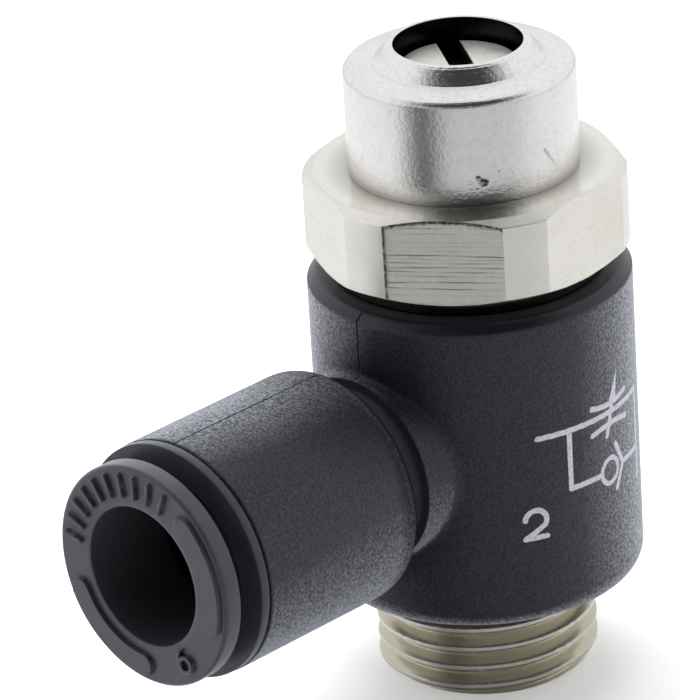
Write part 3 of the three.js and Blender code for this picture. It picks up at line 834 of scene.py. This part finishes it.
def print_distance(s, z):
    """Distance from the ink's edge of the circuit symbol and the port's figure, with s
    along the body's wall from the symbol's left end and z above its main line."""
    check, right = -2.75, 6.7
    lines = [
        [(0, 0), (right, 0)],
        [(1.55, 0), (1.55, check), (3.32, check)],
        [(4.40, -1.65), (4.96, check), (4.42, -3.76)],
        [(4.96, check), (right, check)],
        [(right, 0), (right, -4.2)],
        [(3.80, -1.05), (4.36, 0.75)],
        arc_points((4.12, 1.29), (2.2, 0.9), 235, 305, 9),
        arc_points((4.12, -1.44), (2.2, 0.9), 125, 55, 9),
    ]
    distances = [to_path(s, z, line) - 0.125 for line in lines]
    ball = np.hypot(s - 3.95, z - check)
    distances.append(np.abs(ball - 0.58) - 0.11)
    far, share = to_segment(s, z, (4.70, 1.80), (4.30, 0.55))
    distances.append(far - 0.24 * share)
    distances.append(to_path(s + 0.72, z + 4.62, two_path(0.98, 1.3)) - 0.12)
    return np.min(distances, axis=0)


def ragged(s, z):
    """A little unevenness of the ink's edge."""
    wave = np.sin(37 * s + 4 * np.sin(17 * z)) * np.sin(35 * z + 3 * np.sin(13 * s))
    return 0.022 * wave + 0.018 * np.sin(67 * s + 5) * np.sin(71 * z + 2 * np.sin(23 * s))


def printed_symbol():
    """The ink as a thin skin on the body's wall, cut out of a fine lattice."""
    columns, rows = np.arange(-1.0, 7.0, INK_STEP), np.arange(-4.95, 2.0, INK_STEP)
    s, z = np.meshgrid(columns, rows, indexing="ij")
    value = print_distance(s, z) + ragged(s, z)
    net = Net()
    made = {}
    outline = {}

    def corner(key, place, lift):
        if (key, lift) not in made:
            azimuth = PRINT_AZIMUTH + place[0] / BODY_R
            made[key, lift] = net.row(on_wall(BODY_R + lift, [azimuth], PRINT_Z + place[1]))[0]
        return made[key, lift]

    inked = value < 0
    inked = inked[:-1, :-1] | inked[1:, :-1] | inked[:-1, 1:] | inked[1:, 1:]
    for i, k in np.argwhere(inked):
        ring = [(i, k), (i + 1, k), (i + 1, k + 1), (i, k + 1)]
        loop = []
        for here, there in zip(ring, ring[1:] + ring[:1]):
            a, b = value[here], value[there]
            if a < 0:
                loop.append((here, (s[here], z[here])))
            if (a < 0) != (b < 0):
                share = a / (a - b)
                place = [grid[here] + share * (grid[there] - grid[here]) for grid in (s, z)]
                loop.append((tuple(sorted((here, there))), place))
        if len(loop) < 3:
            continue
        top, bottom = [[corner(key, place, lift) for key, place in loop] for lift in INK_SKIN]
        net.faces += [tuple(top), tuple(reversed(bottom))]
        for n in range(len(loop)):
            m = (n + 1) % len(loop)
            here, there = loop[n][0], loop[m][0]
            if outline.pop((there, here), None) is None:
                outline[here, there] = (top[m], top[n], bottom[n], bottom[m])
    net.faces += outline.values()
    return net.mesh("printed_symbol", 60)


# ---- materials


class Nodes:
    """Shader nodes of one tree, with values that are numbers or other nodes' outputs."""

    def __init__(self, tree):
        self.nodes, self.links = tree.nodes, tree.links

    def add(self, kind, *values, **named):
        """A new node. Names in lower case are its settings; the others are its inputs, with
        _ for a space. Values without a name go to its inputs in order."""
        made = self.nodes.new("ShaderNode" + kind)
        for key, value in named.items():
            if key[0].islower():
                setattr(made, key, value)
            else:
                self.feed(made.inputs[key.replace("_", " ")], value)
        for socket, value in zip(made.inputs, values):
            self.feed(socket, value)
        return made

    def feed(self, socket, value):
        if isinstance(value, bpy.types.NodeSocket):
            self.links.new(value, socket)
        else:
            socket.default_value = value

    def math(self, operation, *values):
        return self.add("Math", *values, operation=operation).outputs[0]

    def times(self, *values):
        return reduce(lambda first, second: self.math("MULTIPLY", first, second), values)

    def rest(self, share):
        """1 less a share."""
        return self.math("SUBTRACT", 1.0, share)

    def spread(self, value, low, high, from_low=0.0, from_high=1.0, kind="LINEAR"):
        """A value from one range laid out over another, and held at its ends."""
        made = self.add(
            "MapRange", interpolation_type=kind, Value=value,
            From_Min=from_low, From_Max=from_high, To_Min=low, To_Max=high,
        )
        return made.outputs["Result"]


class Look(Nodes):
    """A node-based material; lengths in its nodes are millimetres."""

    def __init__(self, name, colour, roughness, metallic=0.0):
        self.material = bpy.data.materials.new(name)
        self.material.use_nodes = True
        super().__init__(self.material.node_tree)
        self.surface = self.nodes["Principled BSDF"]
        self.colour = (*colour, 1)
        self.set(Base_Color=self.colour, Roughness=roughness, Metallic=metallic)
        place = self.add("TexCoord").outputs["Object"]
        self.place = self.scaled(place, 1 / MM)

    def set(self, **inputs):
        """Sets inputs of the surface by name, with _ for a space."""
        for key, value in inputs.items():
            self.feed(self.surface.inputs[key.replace("_", " ")], value)

    def scaled(self, vector, scale):
        made = self.add("VectorMath", operation="SCALE", Scale=scale)
        self.links.new(vector, made.inputs[0])
        return made.outputs[0]

    def parts(self, vector=None):
        return self.add("SeparateXYZ", vector or self.place).outputs

    def noise(self, scale, detail=2.0, place=None, roughness=0.5):
        made = self.add("TexNoise", Scale=scale, Detail=detail, Roughness=roughness)
        self.links.new(place or self.place, made.inputs["Vector"])
        return made.outputs["Fac"]

    def tint(self, share, other):
        """Mixes the base colour towards another by a share from 0 to 1."""
        base = self.surface.inputs["Base Color"]
        before = base.links[0].from_socket if base.is_linked else self.colour
        made = self.add("Mix", data_type="RGBA", A=before, B=(*other, 1), Factor=share)
        self.links.new(made.outputs["Result"], base)

    def rough(self, pattern, low, high):
        self.set(Roughness=self.spread(pattern, low, high, 0.3, 0.7))

    def patches(self, pattern, most, low, high, other):
        """Tints where a pattern is high, up to a share."""
        self.tint(self.spread(pattern, 0, most, low, high), other)

    def bump(self, height, depth, strength=1.0):
        """Adds relief; depth is the height of a full step, in millimetres."""
        normal = self.surface.inputs["Normal"]
        made = self.add("Bump", Height=height, Strength=strength, Distance=depth * MM)
        if normal.is_linked:
            self.links.new(normal.links[0].from_socket, made.inputs["Normal"])
        self.links.new(made.outputs["Normal"], normal)

    # The points' painted light: painted shade above 0, painted highlight below 0.
    def painted_light(self):
        return self.add("Attribute", attribute_name="painted_light").outputs["Fac"]

    def lathe_place(self, stretch, along_barrel=False):
        """Coordinates for turning marks: (angle, radius, place along the axis)."""
        x, y, z = self.parts()
        if along_barrel:
            up, along = self.math("SUBTRACT", z, BARREL_Z), y
        else:
            up, along = self.math("SUBTRACT", y, AXIS_Y), z
        angle = self.math("ARCTAN2", up, x)
        radius = self.math("SQRT", self.math("ADD", self.times(x, x), self.times(up, up)))
        place = [self.times(*pair) for pair in zip((angle, radius, along), stretch)]
        return self.add("CombineXYZ", *place).outputs[0]

    def inside_mask(self, radius, along_barrel=False, blur=0.02):
        """1 inside a radius about the bolt or the barrel and 0 outside it, past the blur."""
        out = self.parts(self.lathe_place((0.0, 1.0, 0.0), along_barrel))["Y"]
        return self.spread(out, 1, 0, radius + 0.01, radius + 0.01 + blur)

    def height_mask(self, low, high):
        """0 below a height and 1 above another, in millimetres."""
        return self.spread(self.parts()["Z"], 0, 1, low, high)

    def openness(self, reach, low, high):
        """0 down in corners and 1 on open surfaces, for painting shade into corners; reach is in
        millimetres.
        """
        around = self.add("AmbientOcclusion", samples=8, only_local=True, Distance=reach * MM)
        return self.spread(around.outputs["AO"], 0, 1, low, high)

    def edge_sheen(self, share, colour, low, high):
        """A painted sheen: lightens the grain where the surface turns away from the eye."""
        facing = self.add("LayerWeight", Blend=0.5).outputs["Facing"]
        self.tint(self.times(self.spread(facing, 0, 1, low, high), share), colour)


def neck_masks(look):
    """1 where shade is painted round the neck and, less, over the top of the barrel's rear; and 1
    on the neck itself, between the barrel and its boss."""
    place = look.math("SUBTRACT", look.parts()["Y"], AXIS_Y)
    behind = look.spread(place, 0, 1, BARREL_REAR - 1.5, BARREL_REAR - 0.45)
    sheltered = look.times(
        look.spread(place, 0, 0.6, BARREL_REAR - 5.0, BARREL_REAR - 0.5),
        look.height_mask(BARREL_Z + 1.5, BARREL_Z + 4.5),
    )
    before_boss = look.spread(place, 1, 0, BOSS_FRONT - 0.02, BOSS_FRONT + 0.02)
    dim = look.times(look.math("MAXIMUM", behind, sheltered), before_boss)
    between = look.times(
        look.spread(place, 0, 1, BARREL_REAR - 0.05, BARREL_REAR),
        look.spread(place, 1, 0, BOSS_FRONT, BOSS_FRONT + 0.02),
    )
    return dim, look.times(look.inside_mask(NECK_R, True, 1.3), between)


def black_polymer():
    """Glass-filled polymer with a spark-eroded grain; the top chamfer is left smooth."""
    look = Look("black_polymer", (0.0080, 0.0082, 0.0125), 0.42)
    look.set(
        Specular_Tint=(0.86, 0.88, 1.0, 1),
        Sheen_Roughness=0.36, Sheen_Tint=(0.84, 0.89, 1.0, 1),
    )
    look.patches(look.noise(0.5, 3), 0.6, 0.3, 0.75, (0.012, 0.012, 0.018))
    grain = look.noise(8.5, 2.5, roughness=0.65)
    coarse = look.noise(5.0, 2.0)
    rough_part = look.height_mask(BODY_TOP - 0.34, BODY_TOP - 0.40)
    speckle = look.times(look.spread(grain, 0, 1, 0.40, 0.63), rough_part)
    look.tint(look.times(speckle, 0.09), (0.055, 0.056, 0.070))
    # Painted shade round the neck: a darker colour, and further on no shine or sheen and a rougher
    # surface.
    corner, neck = neck_masks(look)
    look.tint(corner, (0.013, 0.013, 0.018))
    look.tint(neck, (0.055, 0.055, 0.072))
    # Painted shade: shine and sheen fall away round the neck and down in corners.
    lit = look.times(look.rest(corner), look.openness(6.0, 0.30, 0.82))
    sheen = look.times(look.spread(speckle, 0.38, 0.95), lit, look.spread(rough_part, 0.35, 1.0))
    look.set(
        Specular_IOR_Level=look.times(look.spread(speckle, 0.48, 0.74), lit),
        Sheen_Weight=sheen,
    )
    # Painted sheen at the edges, strongest on the grain's specks, less where shade is painted.
    painted_sheen = look.times(look.math("MULTIPLY_ADD", speckle, 1.15, 0.08), lit)
    look.edge_sheen(painted_sheen, (0.41, 0.427, 0.49), 0.30, 0.80)
    roughness = look.math("ADD", 0.36, look.times(rough_part, 0.06))
    look.set(Roughness=look.math("ADD", roughness, look.times(corner, 0.35)))
    relief = look.math("ADD", grain, look.times(coarse, 0.6))
    look.bump(look.times(relief, look.spread(rough_part, 0.04, 1.0)), 0.030)
    return look.material


def smooth_polymer(name, colour, roughness, bore_r=0.0):
    """Satin moulded polymer with faint flow marks, fine grain and specks of dust, a painted sheen
    towards its edges and painted shade in corners; inside bore_r it is dark with painted shade,
    its sheen taken off and its shine turned down."""
    look = Look(name, colour, roughness)
    look.set(
        Specular_Tint=(0.88, 0.90, 1.0, 1),
        Sheen_Weight=0.35, Sheen_Roughness=0.36, Sheen_Tint=(0.85, 0.9, 1.0, 1),
    )
    flow = look.noise(0.7, 3)
    fine = look.noise(20.0, 2)
    look.patches(flow, 0.6, 0.3, 0.7, [c * 1.5 for c in colour])
    look.patches(look.noise(5.0, 1), 0.5, 0.76, 0.82, [min(1, c * 4) for c in colour])
    # Painted sheen towards the edges.
    look.edge_sheen(look.spread(fine, 0.3, 1.0, 0.3, 0.7), (0.22, 0.23, 0.27), 0.35, 1.0)
    look.rough(flow, roughness - 0.06, roughness + 0.06)
    look.bump(fine, 0.006, 0.8)
    look.bump(flow, 0.02, 0.3)
    # Painted shade in corners: a darker colour where the surface is closed in.
    look.tint(look.rest(look.openness(0.45, 0.50, 0.95)), (0.006, 0.006, 0.009))
    # Painted shade down the bore: no sheen and little shine.
    if bore_r:
        inside = look.inside_mask(bore_r, along_barrel=True)
        look.tint(inside, (0.055, 0.055, 0.068))
        look.set(
            Sheen_Weight=look.spread(inside, 0.35, 0.0),
            Specular_IOR_Level=look.spread(inside, 0.5, 0.1),
        )
    return look.material


def spring_steel():
    """Pressed steel: fine rings, soft waviness, pits and dull patches."""
    colour = (0.66, 0.66, 0.67)
    look = Look("spring_steel", colour, 0.28, 1.0)
    rings = look.noise(1.0, 2, look.lathe_place((1.6, 26.0, 26.0), along_barrel=True))
    broad = look.noise(0.8, 3)
    look.patches(broad, 0.4, 0.35, 0.75, [c * 0.9 for c in colour])
    pits = look.spread(look.noise(6.5, 2), 0, 1, 0.72, 0.80)
    look.tint(look.times(pits, 0.35), [c * 0.55 for c in colour])
    wear = look.math("ADD", look.times(rings, 0.5), look.times(broad, 0.5))
    look.rough(wear, 0.22, 0.38)
    look.bump(rings, 0.0035, 0.8)
    look.bump(look.noise(14.0, 3), 0.003, 0.6)
    look.bump(pits, -0.008, 0.6)
    return look.material


def bolt_nickel():
    """The banjo bolt's nickel: polished top, milled flats, a collar under painted shade, and an olive
    thread, a yellower tone under painted shade with a painted highlight on its crests.
    """
    look = Look("nickel_brass", (0.80, 0.785, 0.735), 0.3, 1.0)
    broad = look.noise(0.7, 3)
    streaks = look.noise(1.0, 3, look.lathe_place((3.0, 9.0, 30.0)))
    look.patches(broad, 0.5, 0.4, 0.75, (0.76, 0.76, 0.68))
    on_top = look.height_mask(HEX_TOP - 0.02, HEX_TOP - 0.01)
    on_hex = look.math("SUBTRACT", look.height_mask(HEX_BOTTOM + 0.01, HEX_BOTTOM + 0.05), on_top)
    look.tint(look.times(look.spread(streaks, 0, 0.4, 0.5, 0.75), on_hex), (0.76, 0.715, 0.70))
    # Darker in a ring round the hood's foot on the top face.
    ring_round_hood = look.times(look.inside_mask(HOOD_R, blur=1.1), on_top, 0.6)
    look.tint(ring_round_hood, (0.24, 0.23, 0.20))
    painted_light = look.painted_light()
    # Painted shade along the burr and in the milling lines.
    painted_line_shade = look.math("MAXIMUM", painted_light, 0.0)
    look.tint(look.times(painted_line_shade, 0.95), (0.07, 0.065, 0.06))
    thread = look.height_mask(THREAD_TOP + 0.5, THREAD_TOP + 0.4)
    # Painted shade on the collar under the hex and on the stem below it, down to the thread.
    collar = look.height_mask(HEX_BOTTOM - 0.02, HEX_BOTTOM - 0.06)
    look.tint(look.math("SUBTRACT", collar, thread), (0.10, 0.095, 0.08))
    # Painted highlight on the thread's crests: there the olive is left off and the metal share drops,
    # so they show pale.
    off_crest = look.math("ADD", 1.0, look.math("MINIMUM", painted_light, 0.0))
    thread = look.times(thread, off_crest)
    # The thread's olive: a yellower tone darkened with painted shade, and a little less metallic.
    look.tint(thread, (0.58, 0.55, 0.445))
    metal_share = look.rest(look.times(thread, 0.25))
    metal_share = look.math("SUBTRACT", metal_share, look.times(look.rest(off_crest), 0.55))
    roughness = look.math("ADD", 0.15, look.times(on_hex, 0.22))
    roughness = look.math("ADD", roughness, look.times(thread, 0.08))
    roughness = look.math("ADD", roughness, look.spread(broad, -0.03, 0.05, 0.3, 0.7))
    look.set(Metallic=metal_share, Roughness=roughness)
    patches = look.noise(5.0, 4, roughness=0.7)
    look.tint(look.times(look.spread(patches, 0, 0.7, 0.5, 0.7), on_hex), (0.90, 0.855, 0.84))
    look.bump(look.times(patches, on_hex), 0.012, 0.9)
    look.bump(look.times(streaks, on_hex), 0.006, 0.8)
    look.bump(look.times(look.noise(13.0, 3), look.spread(on_hex, 0.35, 1.0)), 0.004, 0.8)
    return look.material


def hood_nickel():
    """The hood's satin nickel, with painted shade in its dents and scratch and round its foot, and
    darker on the wall inside its opening.
    """
    colour = (0.84, 0.83, 0.82)
    look = Look("satin_nickel", colour, 0.24, 1.0)
    broad = look.noise(0.6, 3)
    look.patches(broad, 0.35, 0.35, 0.75, (0.80, 0.77, 0.77))
    specks = look.spread(look.noise(7.0, 2), 0, 1, 0.68, 0.78)
    look.tint(look.times(specks, 0.45), [c * 0.5 for c in colour])
    look.rough(broad, 0.15, 0.24)
    look.bump(look.noise(1.0, 3, look.lathe_place((3.0, 14.0, 20.0))), 0.004, 0.8)
    look.bump(look.noise(5.5, 5, roughness=0.65), 0.023, 0.9)
    look.bump(specks, -0.010, 0.7)
    look.patches(look.noise(3.6, 4, roughness=0.7), 0.55, 0.46, 0.66, (0.70, 0.675, 0.675))
    # Painted shade down in the dents and the scratch.
    look.tint(look.painted_light(), (0.16, 0.15, 0.145))
    # Painted shade round the hood's foot, where it sits on the hex.
    foot = look.height_mask(HEX_TOP + 0.55, HEX_TOP)
    look.tint(look.times(foot, 0.5), (0.30, 0.29, 0.27))
    # Darker on the wall inside the opening.
    look.tint(look.inside_mask(HOOD_OPENING_R), (0.02, 0.019, 0.018))
    return look.material


def spindle_nickel():
    """The spindle's nickel, bright on the head's top and black down in the slot with painted shade.
    """
    look = Look("spindle_nickel", (0.84, 0.83, 0.80), 0.3, 0.8)
    broad = look.noise(1.1, 3)
    look.patches(broad, 0.5, 0.4, 0.7, (0.74, 0.72, 0.69))
    look.bump(look.noise(1.0, 2, look.lathe_place((1.5, 24.0, 24.0))), 0.003, 0.8)
    look.bump(look.noise(9.0, 3), 0.010, 0.8)
    # Painted shade below the head's top face, for the slot: black, not metallic and with little
    # shine.
    slot = look.height_mask(HEAD_TOP - 0.03, HEAD_TOP - 0.10)
    look.tint(slot, (0.012, 0.011, 0.010))
    look.rough(broad, 0.25, 0.4)
    look.set(Metallic=look.spread(slot, 0.8, 0.0), Specular_IOR_Level=look.spread(slot, 0.5, 0.05))
    return look.material


def rubber():
    look = Look("nitrile", (0.02, 0.02, 0.022), 0.55)
    bloom = look.noise(1.2, 3)
    look.patches(bloom, 0.6, 0.4, 0.75, (0.035, 0.035, 0.038))
    look.rough(bloom, 0.45, 0.7)
    look.bump(look.noise(18.0, 3), 0.008, 0.7)
    return look.material


def ink():
    look = Look("white_ink", (0.80, 0.80, 0.90), 0.55)
    worn = look.noise(7.0, 3, roughness=0.65)
    look.patches(worn, 0.7, 0.52, 0.74, (0.30, 0.30, 0.36))
    look.rough(worn, 0.45, 0.7)
    look.bump(look.noise(9.0, 3), 0.012, 0.8)
    return look.material


def acetal():
    look = Look("acetal", (0.72, 0.70, 0.64), 0.45)
    look.patches(look.noise(0.9, 3), 0.5, 0.3, 0.7, (0.62, 0.60, 0.54))
    look.rough(look.noise(4.0, 2), 0.38, 0.52)
    look.bump(look.noise(16.0, 2), 0.004, 0.7)
    return look.material


# ---- pieces


RUBBER = rubber()

add_piece(valve_body(), black_polymer(), "elbow", "valve_body")
add_piece(printed_symbol(), ink(), "elbow", slot="black_polymer")
add_piece(banjo_bolt(), bolt_nickel(), "bolt", "banjo_bolt")
add_piece(retaining_hood(), hood_nickel(), "bolt", "retaining_hood")
add_piece(adjusting_spindle(), spindle_nickel(), "spindle", "adjusting_spindle")
RING_LOOK = smooth_polymer("ring_polymer", (0.026, 0.027, 0.034), 0.36)
add_piece(cartridge_sleeve(), RING_LOOK, "elbow", "cartridge_sleeve")
BUTTON_LOOK = smooth_polymer("button_polymer", (0.048, 0.0495, 0.063), 0.36, BUTTON_BORE_R)
add_piece(release_button(), BUTTON_LOOK, "button", "release_button")
add_piece(gripping_ring(), spring_steel(), "elbow", "gripping_ring")
for node, inner, section, place, around, body in (
    ("upper_stem_o_ring", 4.4, 1.1, 12.4, about_bolt, "bolt"),
    ("lower_stem_o_ring", 3.8, 1.1, 1.7, about_bolt, "bolt"),
    ("spindle_o_ring", 1.25, 0.75, 14.7, about_bolt, "spindle_lift"),
    ("tube_seal", 3.0, 1.05, -13.2, about_barrel, "elbow"),
):
    mesh = o_ring(node + "_fine", inner, section, place, around)
    add_piece(mesh, RUBBER, body, node)
for node in ("check_lip_seal", "port_seal"):
    frame["nodes"][node].data.materials[0] = RUBBER
frame["nodes"]["backup_ring"].data.materials[0] = acetal()


# ---- stage


def towards(azimuth, elevation):
    """Unit vector from the object, azimuth from -Y to +X."""
    return Vector((
        sin(azimuth) * cos(elevation),
        -cos(azimuth) * cos(elevation),
        sin(elevation),
    ))


def lamp(name, place, size, power, target):
    """A soft square lamp that reflections don't show; places are from the bolt's axis."""
    data = bpy.data.lights.new(name, "AREA")
    data.size = size * MM
    data.energy = power
    holder = placed(name, data)
    holder.visible_glossy = False
    holder.location = (Vector(place) + Vector((0, AXIS_Y, 0))) * MM
    aim = Vector(target) - Vector(place)
    holder.rotation_euler = aim.to_track_quat("-Z", "Y").to_euler()


class Studio(Nodes):
    """Nodes for the studio's brightness in a direction: white, with a dark room behind the
    camera, and low down a dark flag on the left and a greyer band from there to the right."""

    def __init__(self, tree, direction):
        super().__init__(tree)
        self.direction = direction

    def along(self, axis):
        made = self.add("VectorMath", self.direction, axis, operation="DOT_PRODUCT")
        return made.outputs["Value"]

    def edge(self, value, low, high, start, end):
        return self.spread(value, low, high, start, end, "SMOOTHSTEP")

    def dimmed(self, share, level):
        """1, or the level where the share is full."""
        return self.rest(self.times(share, 1 - level))

    def brightness(self):
        right = Vector((cos(VIEW), sin(VIEW), 0))
        azimuth = self.math("ARCTAN2", self.along(right), self.along(towards(VIEW, 0)))
        azimuth = self.times(azimuth, DEGREES)
        low = self.edge(self.along((0, 0, 1)), 1, 0, 0.0, 0.5)
        from_left = self.edge(azimuth, 0, 1, *FLAG_LEFT)
        bands = []
        for end, level in ((FLAG_RIGHT, FLAG_LEVEL), (GREY_RIGHT, GREY_LEVEL)):
            band = self.times(from_left, self.edge(azimuth, 1, 0, *end), low)
            bands.append(self.dimmed(band, level))
        off_axis = self.math("ARCCOSINE", self.along(towards(ROOM_AZIMUTH, ROOM_ELEVATION)))
        room = self.edge(self.times(off_axis, DEGREES), 1, 0, *ROOM_EDGE)
        return self.times(self.math("MINIMUM", *bands), self.dimmed(room, ROOM_LEVEL))


def floor():
    """A pale floor level with the thread's end. Reflections show it as dark as the studio
    is in that direction, and the camera sees it a little brighter than it is lit."""
    signs = ((-1, -1), (1, -1), (1, 1), (-1, 1))
    corners = [(FLOOR_HALF * x * MM, FLOOR_HALF * y * MM, THREAD_END * MM) for x, y in signs]
    mesh = bpy.data.meshes.new("floor")
    mesh.from_pydata(corners, [], [(0, 1, 2, 3)])
    look = Look("floor_paint", (0.93, 0.93, 0.93), 0.9)
    incoming = look.add("NewGeometry").outputs["Incoming"]
    studio = Studio(look.material.node_tree, look.scaled(incoming, -1))
    ray = look.add("LightPath").outputs
    look.tint(look.times(ray["Is Glossy Ray"], look.rest(studio.brightness())), (0, 0, 0))
    glow = look.times(ray["Is Camera Ray"], FLOOR_GLOW)
    look.set(Emission_Color=(1, 1, 1, 1), Emission_Strength=glow)
    mesh.materials.append(look.material)
    placed("floor", mesh)


def surroundings():
    """The studio's light all round, behind a backdrop that the camera sees as white."""
    world = bpy.data.worlds.new("studio")
    world.use_nodes = True
    tree = world.node_tree
    studio = Studio(tree, tree.nodes.new("ShaderNodeTexCoord").outputs["Generated"])
    light = studio.times(studio.brightness(), SKY)
    seen = studio.add("LightPath").outputs["Is Camera Ray"]
    light = studio.math("MAXIMUM", light, seen)
    background = tree.nodes["Background"].inputs
    studio.feed(background["Strength"], light)
    studio.feed(background["Color"], (1, 1, 1, 1))
    bpy.context.scene.world = world


def camera():
    """A long-lens camera above and to the right of the barrel."""
    back = towards(VIEW, CAMERA_ELEVATION)
    right = Vector((cos(VIEW), sin(VIEW), 0))
    up = back.cross(right)
    near, far = cos(CAMERA_ROLL), sin(CAMERA_ROLL)
    axes = Matrix((right * near + up * far, up * near - right * far, back)).transposed()
    data = bpy.data.cameras.new("camera")
    data.sensor_width = SENSOR
    data.lens = SENSOR * CAMERA_FOCAL
    data.shift_x, data.shift_y = CAMERA_SHIFT
    data.clip_start = 0.01
    holder = placed("camera", data)
    place = (Vector((0, AXIS_Y, CAMERA_TARGET_Z)) + back * CAMERA_DISTANCE) * MM
    holder.matrix_world = Matrix.Translation(place) @ axes.to_4x4()
    bpy.context.scene.camera = holder


floor()
surroundings()
camera()
lamp("overhead", (-40, 30, 160), 140, 0.20, (0, 0, 5))
bpy.context.scene.view_settings.view_transform = "Standard"
